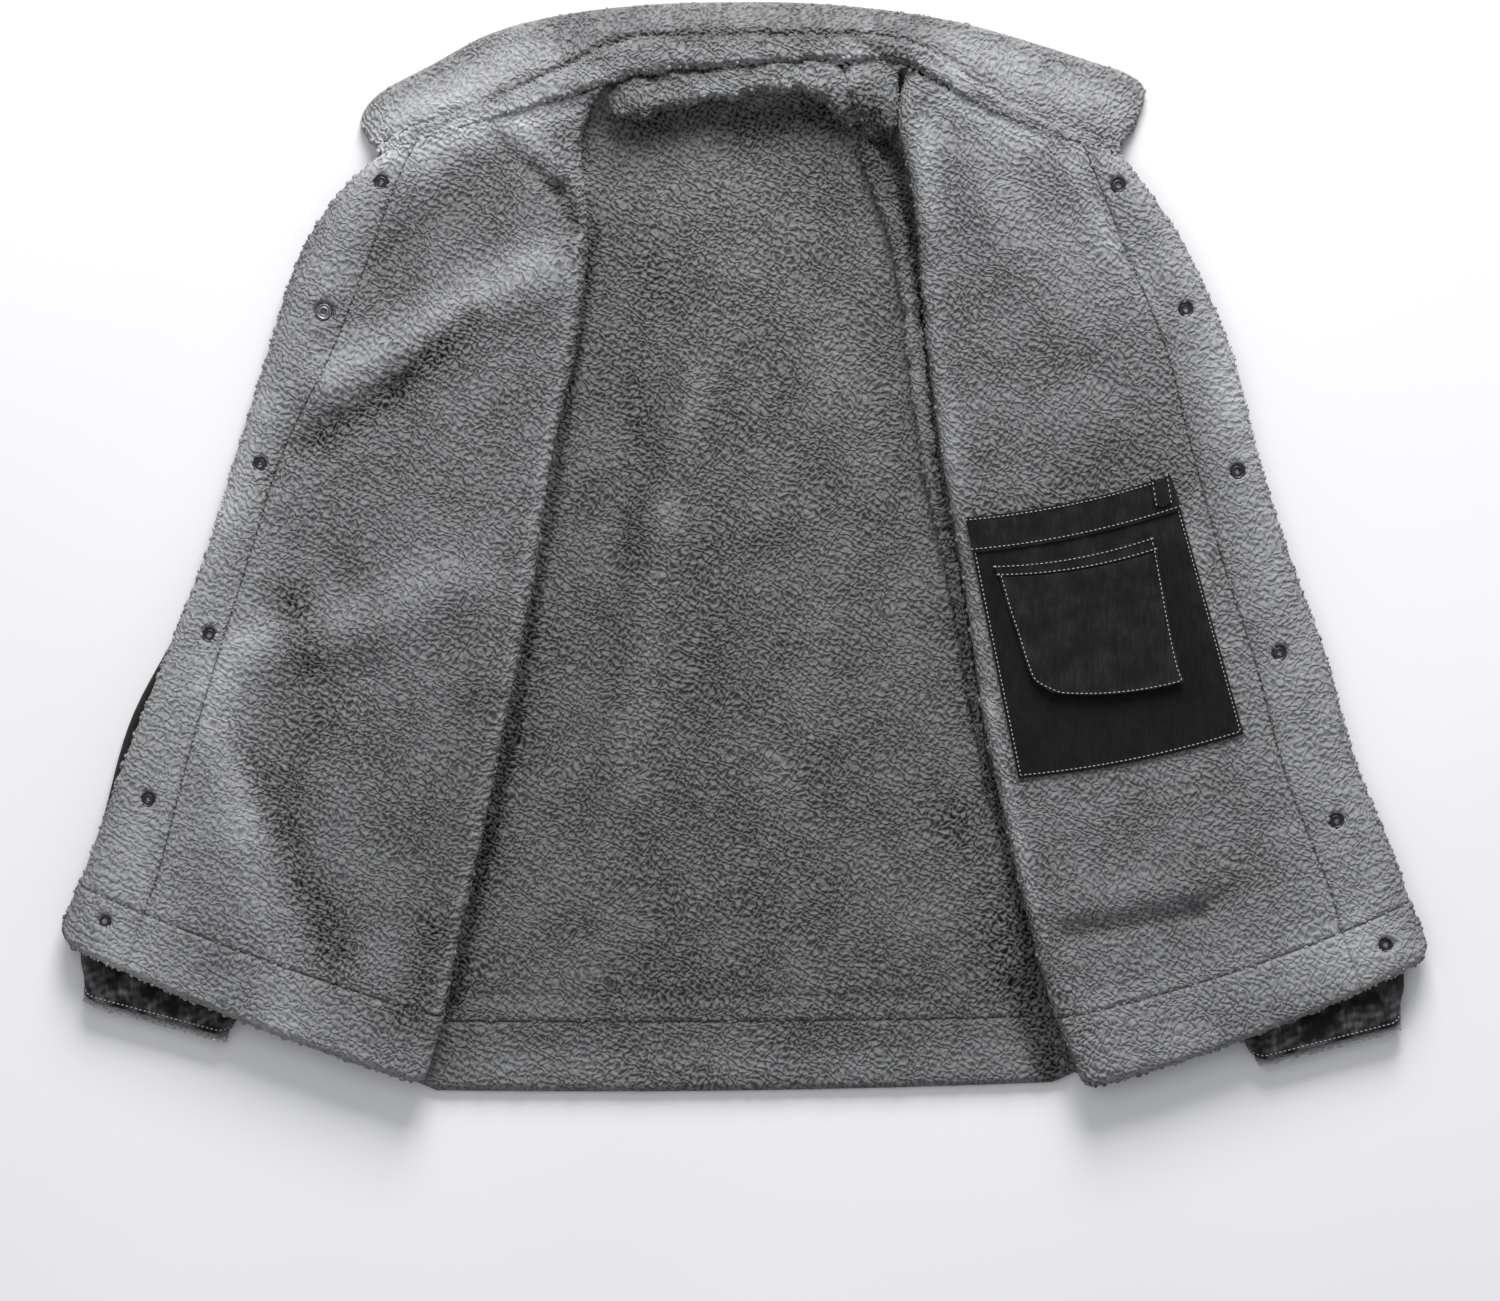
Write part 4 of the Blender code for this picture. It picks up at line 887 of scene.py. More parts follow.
# ==== materials
def new_material(name, colour, roughness, specular=0.5, sheen=(0.0, 0.5), metallic=0.0):
    """A Principled material, its maker and its shader's inputs."""
    material = bpy.data.materials.new(name)
    material.use_nodes = True
    inputs = material.node_tree.nodes["Principled BSDF"].inputs
    values = {"Base Color": (*colour, 1.0), "Roughness": roughness, "Metallic": metallic,
              "Specular IOR Level": specular, "Sheen Weight": sheen[0], "Sheen Roughness": sheen[1]}
    for label, value in values.items():
        inputs[label].default_value = value
    return material, NodeMaker(material.node_tree), inputs


def shade_with(maker, inputs, colour, tone):
    """Give a shader a colour times a tone."""
    maker.feed(inputs["Base Color"], maker.scaled(tuple(colour), tone))


def bump_with(maker, inputs, height, distance):
    """Bump a shader by a height."""
    bump = {"Height": height, "Distance": distance, "Strength": 1.0}
    maker.feed(inputs["Normal"], maker.add("ShaderNodeBump", bump)[0])


def fleece_material(name, settings):
    """Curly fleece: tuft tips painted light over creases painted in shade, with soft patches of
    smoother or curlier pile and of painted light and shade.
    """
    fleece = settings.fleece
    # The back's fleece is painted darker for the shade it lies in.
    colour = fleece.shaded_back_colour if name.endswith("back") else fleece.front_colour
    _, maker, inputs = new_material(name, colour, roughness=0.95, specular=0.1,
                                     sheen=(0.1, 0.5))
    place = maker.attribute("rest", "Vector")
    curl = curl_height(maker, place, fleece.tuft_spacing, fleece.twist, fleece.twist_scale)
    fine = maker.noise(place, FINE_SCALE)
    patch = maker.noise(place, PATCH_SCALE)
    # nap holds how the pile lies and the patches' painted light and shade.
    nap = maker.attribute("nap")
    # How crisp the curls stand: it sets their bump and how dark their creases are painted; the
    # curly patches and nap raise it where shade falls.
    crisp = maker.times(maker.remap(patch, PATCH_CRISP), maker.remap(nap, NAP_AND_SHADE_CRISP),
                        maker.math("ADD", maker.attribute("curly"), PLAIN_CRISP))
    # Painted shade in the pile's creases and painted light on its tuft tips.
    depth = maker.math("POWER", maker.remap(curl, CREASE_SHADE_DEPTH), CREASE_SHADE_POWER)
    depth = maker.times(depth, fleece.crease_shade - fleece.tip_shade)
    tone = maker.times(maker.math("MULTIPLY_ADD", depth, crisp, fleece.tip_shade),
                       maker.math("EXPONENT", maker.times(nap, NAP_AND_SHADE_GAIN)),
                       maker.remap(maker.attribute("fluff"), FLUFF_TONE),
                       maker.remap(fine, FINE_TONE), maker.remap(patch, PATCH_TONE))
    height = maker.times(maker.math("MULTIPLY_ADD", fine, FINE_BUMP, curl), crisp)
    shade_with(maker, inputs, colour, tone)
    bump_with(maker, inputs, height, fleece.tuft_height * BUMP_SHARE)


def denim_material(name, settings):
    """Black denim: a steep twill over uneven yarns, rubbed pale where it wears, and darkened by
    painted shadow round the pocket's flap.
    """
    denim = settings.denim
    _, maker, inputs = new_material(name, denim.colour, roughness=0.85, specular=0.25,
                                     sheen=(0.08, 0.4))
    place = maker.add("ShaderNodeTexCoord")["Object"]
    waves = []
    for way, pitch in ((TWILL_WAY, TWILL_PITCH), (YARN_WAY, YARN_PITCH)):
        along = maker.vector("DOT_PRODUCT", place, way)
        waves.append(maker.math("SINE", maker.times(along, 2 * math.pi / pitch)))
    weave = maker.math("MULTIPLY_ADD", waves[1], YARN_WEIGHT, waves[0])
    stretched = maker.vector("MULTIPLY", place, YARN_STRETCH)
    yarn = maker.noise(stretched, YARN_SCALE)
    slub = maker.noise(stretched, SLUB_SCALE, 2.0)
    cloud = maker.noise(place, CLOUD_SCALE, 2.0)
    # Above zero the denim is rubbed pale; below zero it is darkened as painted shadow.
    wear = maker.attribute("wear")
    rubbed = maker.times(wear, maker.remap(cloud, CLOUD_RUBBED))
    tone = maker.times(maker.remap(weave, WEAVE_TONE), maker.remap(yarn, YARN_TONE),
                       maker.remap(cloud, CLOUD_TONE), maker.remap(slub, SLUB_TONE),
                       maker.remap(wear, WEAR_AND_SHADOW_TONE))
    dark, pale = (maker.scaled(tuple(colour), tone) for colour in (denim.colour, denim.worn_colour))
    mix = maker.add("ShaderNodeMix", {0: rubbed, 6: dark, 7: pale}, data_type="RGBA")
    maker.feed(inputs["Base Color"], mix[2])
    bump_with(maker, inputs, maker.math("MULTIPLY_ADD", yarn, YARN_BUMP, weave), WEAVE_BUMP)


def thread_material(name, settings):
    """Topstitch thread with a fine twist."""
    colour = settings.denim.thread_colour
    _, maker, inputs = new_material(name, colour, roughness=0.7, specular=0.3)
    fleck = maker.noise(maker.add("ShaderNodeTexCoord")["Object"], FLECK_SCALE, 2.0)
    shade_with(maker, inputs, colour, maker.remap(fleck, FLECK_TONE))
    bump_with(maker, inputs, fleck, FLECK_BUMP)


def metal_material(name, settings):
    """Dark snap metal with fine scratches and dull spots."""
    colour = settings.snaps.colour
    _, maker, inputs = new_material(name, colour, roughness=0.36, metallic=0.9)
    dull = maker.noise(maker.add("ShaderNodeTexCoord")["Object"], SCRATCH_SCALE, 3.0)
    tone = maker.times(maker.attribute("tone"), maker.remap(dull, SCRATCH_TONE))
    shade_with(maker, inputs, colour, tone)
    bump_with(maker, inputs, dull, SCRATCH_BUMP)
    maker.feed(inputs["Roughness"], maker.remap(dull, SCRATCH_ROUGHNESS))


FINISHES = {"sherpa_front": fleece_material, "sherpa_back": fleece_material,
            "denim": denim_material, "thread": thread_material, "snap_metal": metal_material}


def finish_of(slot):
    """The material for one of the slots, or for thread, made once."""
    name = "finish_" + slot
    if name not in bpy.data.materials:
        FINISHES[slot](name, bpy.context.scene.sherpa_jacket)
    return bpy.data.materials[name]


# ==== finishing a piece
def join_frame(piece, nodes):
    """Ride the body and hide the CAD nodes that the piece stands for."""
    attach(piece, BODY)
    if nodes:
        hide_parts(*nodes)


def rim_of(piece, fluffy):
    """Where a fleece piece turns over an edge, 0 to 1, from its level of slope."""
    slope = vertex_values(piece, "normal")[:, 2]
    rim = smooth_step((RIM_SLOPE - slope) / RIM_SOFTNESS) * (slope > RIM_UNDERSIDE)
    return rim * (vertex_values(piece)[:, 2] > RIM_LOWEST) * (fluffy > 0)


def add_tufts(piece, slot, seed, density=1.0, size=1.0):
    """Turn a piece into the tufts that stand on its rims."""
    fleece = bpy.context.scene.sherpa_jacket.fleece
    run_tree(piece, "edge_tufts", {
        "Density": fleece.edge_tufts * density, "Radius": fleece.tuft_radius * size,
        "Seed": seed, "Material": finish_of(slot)})
    join_frame(piece, [])


def fleece_piece(piece, fluff, slot, number, swell=1.0, ragged=1.0):
    """Raise the pile on a fleece wall and hand it to the frame."""
    fleece = bpy.context.scene.sherpa_jacket.fleece
    fluffy = outer_values(piece, fluff)
    rim = rim_of(piece, fluffy)
    rim[:np.size(fluff)] *= np.ravel(np.broadcast_to(ragged, np.shape(fluff)))
    x, y, _ = vertex_values(piece).T
    curly = np.minimum(crease_lift(CURLY_AND_SHADED_PATCHES, x, y), MOST_CURLY_AND_SHADED)
    # The patches' painted light and shade go with the fleece as nap.
    for name, values in (("fluff", fluffy), ("rim", rim),
                         ("nap", crease_lift(NAP_AND_SHADE_PATCHES, x, y)), ("curly", curly)):
        set_attribute(piece, name, values)
    run_tree(piece, "fleece_pile", {
        "Tuft height": fleece.tuft_height, "Tuft spacing": fleece.tuft_spacing,
        "Twist": fleece.twist, "Twist scale": fleece.twist_scale, "Swell": fleece.swell * swell,
        "Shift": tuple(part * number for part in PIECE_SHIFT), "Material": finish_of(slot)})
    join_frame(piece, [piece.name.replace("fleece_", "")])
    tufts = put_in_scene(piece.name.replace("fleece", "tufts"), piece.data.copy())
    add_tufts(tufts, slot, number)


def denim_piece(piece, wear, node):
    """Give a denim piece its wear and material, and hand it to the frame."""
    set_attribute(piece, "wear", outer_values(piece, wear))
    piece.data.materials.append(finish_of("denim"))
    join_frame(piece, [node])


def stitch_piece(name, paths):
    """Stitches along paths, as one piece."""
    denim = bpy.context.scene.sherpa_jacket.denim
    points = []
    edges = []
    for path in paths:
        start = len(points)
        points += [tuple(point) for point in path]
        edges += [(start + number, start + number + 1) for number in range(len(path) - 1)]
    mesh = bpy.data.meshes.new(name)
    mesh.from_pydata(points, edges, [])
    piece = put_in_scene(name, mesh)
    run_tree(piece, "stitch_run", {
        "Pitch": denim.stitch_pitch, "Fill": STITCH_FILL, "Thread radius": denim.thread_radius,
        "Material": finish_of("thread")})
    piece.data.shade_smooth()
    join_frame(piece, [])


# ==== fronts
def zone_columns(zone, steps, ends=0):
    """Even columns over one zone of a front, its last place too where ends is 1."""
    places = [step / steps for step in range(steps + ends)]
    return [Column(zone, 1 - place if zone == "under" else place) for place in places]


def front_columns(zone):
    """The columns across a front's lining (main), its facing, or its hem band."""
    inner = zone_columns("under", COARSE) + zone_columns("fold", FOLD_STEPS)
    outer = zone_columns("facing", FACING_STEPS) + zone_columns("edge", EDGE_STEPS, 1)
    if zone == "facing":
        return outer
    if zone == "main":
        return inner + zone_columns("main", MAIN_STEPS, 1)
    return inner + zone_columns("main", MAIN_STEPS) + outer


def underlay_width(side, fold, outward):
    """How far the front's hidden layer runs from the fold to the back's side seam."""
    ys = [row.y for row in BACK_ROWS]
    sides = [getattr(row, side + "_x") for row in BACK_ROWS]
    width = np.zeros(len(fold))
    for _ in range(3):
        y = np.clip(fold[:, 1] + outward[:, 1] * width, ys[0], ys[-1])
        side_x = np.interp(y, ys, sides)
        width = (np.abs(side_x - fold[:, 0]) - UNDERLAY_INSET) / np.abs(outward[:, 0])
        width = np.maximum(width, UNDERLAY_LEAST)
    return width


def snap_wells(side, x, y):
    """How deep the pile is pressed round the snaps of a facing."""
    depth = np.zeros(np.shape(x))
    for number in SNAP_NUMBERS:
        low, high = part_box(f"snap_{side}_{number}")
        away = np.hypot(x - (low.x + high.x) / 2, y - (low.y + high.y) / 2)
        radius = OPEN_WELL if (side, number) == PALE_SNAP else WELL_RADII[side]
        depth += WELL_DEPTH * smooth_step((radius + WELL_SLOPE - away) / WELL_SLOPE)
    return depth


def corner_rise(radius, aside, from_hem):
    """How far a rounded corner lifts the hem, fading out up the front."""
    inside = np.clip(radius - aside, 0.0, radius)
    rise = radius - np.sqrt(radius ** 2 - inside ** 2)
    return rise * smooth_step(1 - from_hem / CORNER_FADE)


def column_along(zone, place, width, seam_at, underlay):
    """How far a column lies from the fold's outermost line, before the fold is rolled."""
    if zone in ("under", "fold"):
        return FOLD_RADIUS + (underlay - FOLD_RADIUS) * place
    if zone == "main":
        return FOLD_RADIUS + (seam_at - SEAM_GAP / 2 - FOLD_RADIUS) * place
    if zone == "facing":
        start = seam_at + SEAM_GAP / 2
        return start + (width - EDGE_ROUND - start) * place
    return width - EDGE_ROUND * (1 - math.sin(place * math.pi / 2))


def front_grid(side, ts, columns, depth=0.0, seamed=True):
    """Points of a front at a depth under its pile surface, and how far its pile stands."""
    row = read_rows(FRONT_ROWS[side], ts, "t")
    fold = flat_points(row.fold_x, row.fold_y)
    width, outward = span(fold, flat_points(row.edge_x, row.edge_y))
    underlay = underlay_width(side, fold, outward)
    seam_at = width - row.facing
    from_hem = ts * FRONT_LENGTH
    from_neck = (1 - ts) * FRONT_LENGTH
    from_band = np.abs(ts - HEM_BAND) * FRONT_LENGTH
    grid = np.empty((len(ts), len(columns), 3))
    fluff = np.ones(grid.shape[:2])
    for number, (zone, place) in enumerate(columns):
        rolled = zone in ("under", "fold")
        angle = math.pi * {"under": -0.5, "fold": place - 0.5}.get(zone, 0.5)
        along = column_along(zone, place, width, seam_at, underlay)
        from_edge = from_seam = np.full(len(ts), EDGE_REACH)
        if not rolled:
            from_edge = np.maximum(width - along, 0.0)
            if seamed:
                from_seam = np.abs(along - seam_at)
        sunk = np.zeros(len(ts))
        if depth == 0.0:
            sunk = round_off(EDGE_ROUND, from_hem, from_edge, from_neck + NECK_KEPT)
            sunk = np.minimum(sunk + seam_groove(from_band, from_seam), EDGE_ROUND)
        reach = FOLD_RADIUS - depth
        fade = 1.0
        if rolled:
            reach = reach - sunk
            sunk = 0.0
            fade = (1 + math.sin(angle)) / 2
            fluff[:, number] = 0.0
        if zone == "fold":
            fluff[:, number] = smooth_step((place - FOLD_PILE_START) / FOLD_PILE_RISE)
            along = FOLD_RADIUS - reach * math.cos(angle)
        share = along / width
        x = fold[:, 0] + outward[:, 0] * along
        y = fold[:, 1] + outward[:, 1] * along + row.bow * 4 * share * (1 - share)
        y = y + corner_rise(FOLD_CORNER, along, from_hem)
        y = y + corner_rise(OUTER_CORNER, width - along, from_hem)
        z = ON_BACK + FOLD_RADIUS + reach * math.sin(angle) - sunk
        wells = 0.0 if rolled else snap_wells(side, x, y)
        if not rolled:
            z -= row.drop * np.maximum(1 - from_edge / EDGE_REACH, 0.0) ** 2
            if depth == 0.0:
                z -= wells
        z += fade * crease_lift(FRONT_CREASES[side], x, y)
        grid[:, number] = np.stack([x, y, z], 1)
        fluff[:, number] *= smooth_step(np.minimum(from_band, from_seam) / PILE_FADE)
        fluff[:, number] *= edge_pile(sunk) * (1 - WELL_PRESSED * wells / WELL_DEPTH)
    return grid, fluff


def front_rows(start, end, steps):
    """Rows along a front, closer together round its hem and its neck edge."""
    round_rows = edge_shares(EDGE_STEPS) / FRONT_LENGTH
    reach = EDGE_ROUND / FRONT_LENGTH
    if start == 0.0:
        return np.concatenate([round_rows, np.linspace(reach, end, steps - EDGE_STEPS + 1)])
    body = np.linspace(start, end - reach, steps - EDGE_STEPS, endpoint=False)
    return np.concatenate([body, [end - reach], end - round_rows[::-1]])


def make_front(side, number):
    """One front: lining, facing and hem band on a denim shell."""
    body = front_rows(HEM_BAND + HEM_SEAM, 1.0, FRONT_ROWS_FINE)
    band = front_rows(0.0, HEM_BAND - HEM_SEAM, HEM_ROWS_FINE)
    parts = (("front_lining", "main", body), ("front_facing", "facing", body),
             ("front_hem_lining", "band", band))
    for offset, (name, zone, ts) in enumerate(parts):
        columns = front_columns(zone)
        outer, fluff = front_grid(side, ts, columns)
        inner, _ = front_grid(side, ts[::COARSE], columns[::COARSE], PILE)
        piece = wall_piece(f"fleece_{name}_{side}", outer, inner, COARSE)
        ragged = [FOLD_RAGGED if column.zone == "fold" else 1.0 for column in columns]
        fleece_piece(piece, fluff, "sherpa_front", number + offset, 1.0, ragged)
    ts = np.linspace(BAND_FROM_HEM, 1.0 - BAND_FROM_HEM, SHELL_ROWS)
    columns = [column for zone in SHELL_ZONES for column in zone_columns(*zone)]
    columns.append(Column("edge", SHELL_EDGE))
    outer, _ = front_grid(side, ts, columns, PILE + SEAM_GAP)
    inner, _ = front_grid(side, ts, columns, WALL)
    piece = wall_piece("denim_front_" + side, outer, inner)
    denim_piece(piece, 0.0, "front_shell_" + side)


# ==== back
def back_grid(ys, shares, level, pile):
    """Points across the back: fine between the folds, coarse under the fronts."""
    keys = [row.y for row in BACK_ROWS]
    left = np.interp(ys, keys, [row.left_x for row in BACK_ROWS])
    right = np.interp(ys, keys, [row.right_x for row in BACK_ROWS])
    edges = []
    for side, limit, sign in (("left", left, -1), ("right", right, 1)):
        folds = sorted((row.fold_y, row.fold_x) for row in FRONT_ROWS[side])
        fold = np.interp(ys, [y for y, _ in folds], [x for _, x in folds])
        edges.append(sign * np.minimum(np.abs(fold) + UNDER_FOLD, np.abs(limit) - HIDDEN_LEAST))
    knots = np.stack([left, *edges, right], 1)
    x = np.stack([np.interp(shares, range(4), line) for line in knots])
    y = np.repeat(ys[:, None], len(shares), 1)
    share = (x - left[:, None]) / (right - left)[:, None]
    from_hem = y - BACK_ROWS[0].y
    bend = HEM_TILT * (share - 0.5) * 2 + HEM_BOW * 4 * share * (1 - share)
    corner = np.maximum(np.abs(x) - HEM_CORNER_X, 0.0) * HEM_CORNER_RISE
    y_here = y + np.maximum(0.0, 1 - from_hem / HEM_FADE) * (bend + corner)
    z = np.full(x.shape, level)
    fluff = np.ones(x.shape)
    if pile:
        from_seam = np.abs(y - BACK_SEAM_Y)
        z += crease_lift(BACK_CREASES, x, y_here)
        z -= np.minimum(round_off(EDGE_ROUND, from_hem) + seam_groove(from_seam), EDGE_ROUND)
        fluff *= smooth_step(from_seam / PILE_FADE)
        fluff *= smooth_step((shares - 1 + BACK_FADE) / BACK_FADE)
        fluff *= smooth_step((2 + BACK_FADE - shares) / BACK_FADE)
        fluff *= 1 - EDGE_PRESSED * smooth_step((HEM_FOOT - from_hem) / HEM_FOOT)
    return np.stack([x, y_here, z], -1), fluff


def make_back():
    """The back lining, its hem band and the denim under them."""
    hidden = np.arange(COARSE) / COARSE
    shares = np.concatenate([hidden, np.linspace(1.0, 2.0, BACK_STEPS, endpoint=False),
                             2.0 + np.append(hidden, 1.0)])
    hem = BACK_ROWS[0].y
    seam = BACK_SEAM_Y - SEAM_GAP / 2
    band = np.append(hem + edge_shares(EDGE_STEPS),
                     np.linspace(hem + EDGE_ROUND, seam, HEM_ROWS_BACK - EDGE_STEPS + 1))
    main = np.linspace(seam + SEAM_GAP, BACK_NECK_Y, BACK_ROWS_FINE + 1)
    for number, (name, ys) in enumerate((("back_lining", main), ("back_hem_lining", band))):
        outer, fluff = back_grid(ys, shares, WALL, True)
        inner, _ = back_grid(ys[::COARSE], shares[::COARSE], DENIM + SEAM_GAP, False)
        piece = wall_piece("fleece_" + name, outer, inner, COARSE)
        fleece_piece(piece, fluff, "sherpa_back", number)
    ys = np.linspace(hem + BACK_SHELL_INSET, BACK_NECK_Y, SHELL_ROWS)
    outer, inner = (back_grid(ys, shares[::COARSE], level, False)[0] for level in (DENIM, 0.0))
    piece = wall_piece("denim_back", outer, inner)
    denim_piece(piece, 0.0, "back_shell")


# ==== sleeves and cuffs
def flat_rings(rows, places, thick, depth, sides):
    """Flattened tube sections: two half rounds joined by flat runs, sides points round each."""
    row = read_rows(rows, places)
    inner = flat_points(row.inner_x, row.inner_y)
    width, across = span(inner, flat_points(row.outer_x, row.outer_y))
    radius = thick / 2 - depth
    flat = width[:, None] - thick
    arc = math.pi * radius
    travel = np.linspace(0.0, 1.0, sides, endpoint=False)[None] * (2 * flat + 2 * arc)
    runs = (travel < flat, travel < flat + arc, travel < 2 * flat + arc)
    turn = np.where(runs[1], travel - flat, travel - 2 * flat - arc) / radius
    along = np.select(runs, (travel, flat + np.sin(turn) * radius, 2 * flat + arc - travel),
                      -np.sin(turn) * radius)
    height = np.select(runs, (radius, np.cos(turn) * radius, -radius), -np.cos(turn) * radius)
    place = inner[:, None] + across[:, None] * (along + thick / 2)[..., None]
    return np.concatenate([place, (thick / 2 + height)[..., None]], -1)


def moved_row(row, towards, distance):
    """A sleeve row moved along the tube."""
    ends = []
    for near, far in ((row[:2], towards[:2]), (row[2:], towards[2:])):
        ends.extend(Vector(near) + (Vector(far) - Vector(near)).normalized() * distance)
    return SleeveRow(*ends)


def cuff_wrinkles(rings, shares):
    """Small uneven puckers above a cuff's mouth, as heights over its upper side."""
    x, y = rings[..., 0], rings[..., 1]
    broad, slanted, fine = (2 * math.pi / pitch for pitch in PUCKER_PITCHES)
    wave = 0.40 * np.sin(x * broad + 3 * np.sin(y * 120))
    wave += 0.40 * np.sin((y - 0.25 * x) * slanted + 2 * np.sin(x * 170))
    wave += 0.20 * np.sin(x * fine + y * 210 + 1.3)
    band = smooth_step((shares - PUCKER_START) / PUCKER_RISE)
    band *= smooth_step((1.0 - shares) / PUCKER_END)
    return wave * band[:, None]


def round_mouth(rings, cuff, shares):
    """Pull the corners of a cuff's mouth back into round ones."""
    up = np.array(cuff[-2][:2]) - cuff[-1][:2]
    up /= np.linalg.norm(up)
    for ring, share in zip(rings, shares):
        inner = ring[np.argmin(np.abs(ring[:, 0])), :2]
        aside = np.linalg.norm(ring[:, :2] - inner, axis=1)
        aside = np.minimum(aside, aside.max() - aside)
        inside = np.clip(MOUTH_CORNER - aside, 0, None)
        pull = MOUTH_CORNER - np.sqrt(MOUTH_CORNER ** 2 - inside ** 2)
        ring[:, :2] += up * (pull * smooth_step((share - MOUTH_FROM) / MOUTH_RISE))[:, None]


def make_denim_sleeve(side):
    """The sleeve's denim tube."""
    rows = SLEEVE_ROWS[side]
    places = np.linspace(0.0, len(rows) - 1, SLEEVE_RINGS)
    outer = flat_rings(rows, places, SLEEVE_THICK, 0.0, SLEEVE_SIDES)
    inner = flat_rings(rows, places[::-SLEEVE_INNER_STEP], SLEEVE_THICK, DENIM, SLEEVE_SIDES)
    piece = ring_piece("denim_sleeve_" + side, np.concatenate([outer, inner]), True)
    denim_piece(piece, 0.0, "sleeve_" + side)


def make_cuff(side):
    """The puckered cuff, rubbed pale along its puckers and its mouth, with its topstitching."""
    cuff = CUFF_ROWS[side]
    places = np.linspace(0.0, len(cuff) - 1, CUFF_ROWS_FINE)
    shares = places / places[-1]
    inward = slice(None, None, -CUFF_INNER_STEP)
    outer = flat_rings(cuff, places, CUFF_THICK, 0.0, CUFF_SIDES)
    inner = flat_rings(cuff, places[inward], CUFF_THICK, CUFF_DENIM, CUFF_SIDES)
    round_mouth(outer, cuff, shares)
    round_mouth(inner, cuff, shares[inward])
    pucker = cuff_wrinkles(outer, shares)
    upper = outer[..., 2] - CUFF_THICK * CUFF_UPPER
    upper = smooth_step(upper / (CUFF_THICK * CUFF_UPPER_RISE))
    outer[..., 2] += pucker * upper * CUFF_PUCKER
    piece = ring_piece("denim_cuff_" + side, np.concatenate([outer, inner]), True)
    wear = np.clip(CUFF_WEAR + CUFF_WEAR_SPREAD * pucker, 0.0, 1.0) * upper
    wear += CUFF_RIM_WEAR * smooth_step((shares - CUFF_RIM) / (1 - CUFF_RIM))[:, None] * upper
    denim_piece(piece, np.clip(wear, 0.0, 1.0), "cuff_" + side)
    paths = []
    for share in CUFF_STITCHES:
        line = outer[round(share * (len(places) - 1))]
        top = line[line[:, 2] > CUFF_THICK * STITCHED_ABOVE]
        paths.append(top[np.argsort(top[:, 0])] + (0, 0, THREAD_RADIUS))
    stitch_piece("cuff_stitches_" + side, paths)


def make_sleeve_lining(side, number):
    """The fleece tube that runs through sleeve and cuff and stands out of the mouth."""
    cuff = CUFF_ROWS[side]
    tube = SLEEVE_ROWS[side] + cuff + [moved_row(cuff[-1], cuff[-2], -LINING_FRINGE)]
    last = len(tube) - 1
    far = np.linspace(0.0, last - LINING_NEAR, LINING_FAR_RINGS, endpoint=False)
    places = np.append(far, np.linspace(last - LINING_NEAR, last, LINING_NEAR_RINGS))
    inner_places = np.append(far, last)[::-LINING_INNER_STEP]
    outer = flat_rings(tube, places, SLEEVE_THICK, CUFF_DENIM + SEAM_GAP, LINING_SIDES)
    slit = SLEEVE_THICK / 2 - LINING_SLIT / 2
    inner = flat_rings(tube, inner_places, SLEEVE_THICK, slit, LINING_SIDES)
    round_mouth(outer, cuff, places - last + 1.0)
    round_mouth(inner, cuff, inner_places - last + 1.0)
    rings = np.concatenate([outer, inner])
    rings[..., 2] += (CUFF_THICK - SLEEVE_THICK) / 4
    piece = ring_piece("fleece_sleeve_lining_" + side, rings, True)
    fluff = smooth_step((places - (last - 1.0)) / LINING_PILE_RISE)
    fluff = np.repeat(fluff[:, None], LINING_SIDES, 1)
    fleece_piece(piece, fluff, "sherpa_front", number)


# ==== collar and rolls
def collar_stations():
    """Stations along the collar, their readings, and the level direction out of its neck."""
    stations = np.linspace(0.0, len(COLLAR_ROWS) - 1, COLLAR_STATIONS + 1)
    row = read_rows(COLLAR_ROWS, stations)
    return stations, row, sideways(row.neck_x, row.neck_y)


def collar_grid(stations, fractions, depth):
    """Points across the collar from its roll to its outer edge, and how far the pile stands."""
    row = read_rows(COLLAR_ROWS, stations)
    outward = sideways(row.neck_x, row.neck_y)
    neck = flat_points(row.neck_x, row.neck_y)
    neck = neck + outward * (row.roll_width + 2 * SEAM_GAP)[:, None]
    outer = flat_points(row.outer_x, row.outer_y)
    width, across = span(neck, outer)
    taper = row.roll_top / HIGHEST_ROLL
    lengths = np.append(0.0, np.cumsum(np.linalg.norm(np.diff(outer, axis=0), axis=1)))
    ends = np.minimum(lengths, lengths[-1] - lengths)
    lift = read_rows(COLLAR_LIFTS, fractions, "fraction").lift
    along = width[:, None] * fractions
    spots = neck[:, None] + across[:, None] * along[..., None]
    z = WALL - depth + lift[None] * taper[:, None]
    fade = smooth_step((1 - fractions) / COLLAR_CREASE_FADE)
    z = z + crease_lift(COLLAR_CREASES, spots[..., 0], spots[..., 1]) * fade
    z = np.maximum(z, WALL - depth)
    fluff = np.ones(z.shape)
    if depth == 0.0:
        from_ends = np.repeat(ends[:, None], len(fractions), 1)
        sunk = round_off(EDGE_ROUND, width[:, None] - along, from_ends)
        z -= sunk
        fluff *= edge_pile(sunk)
    return np.concatenate([spots, z[..., None]], -1), fluff


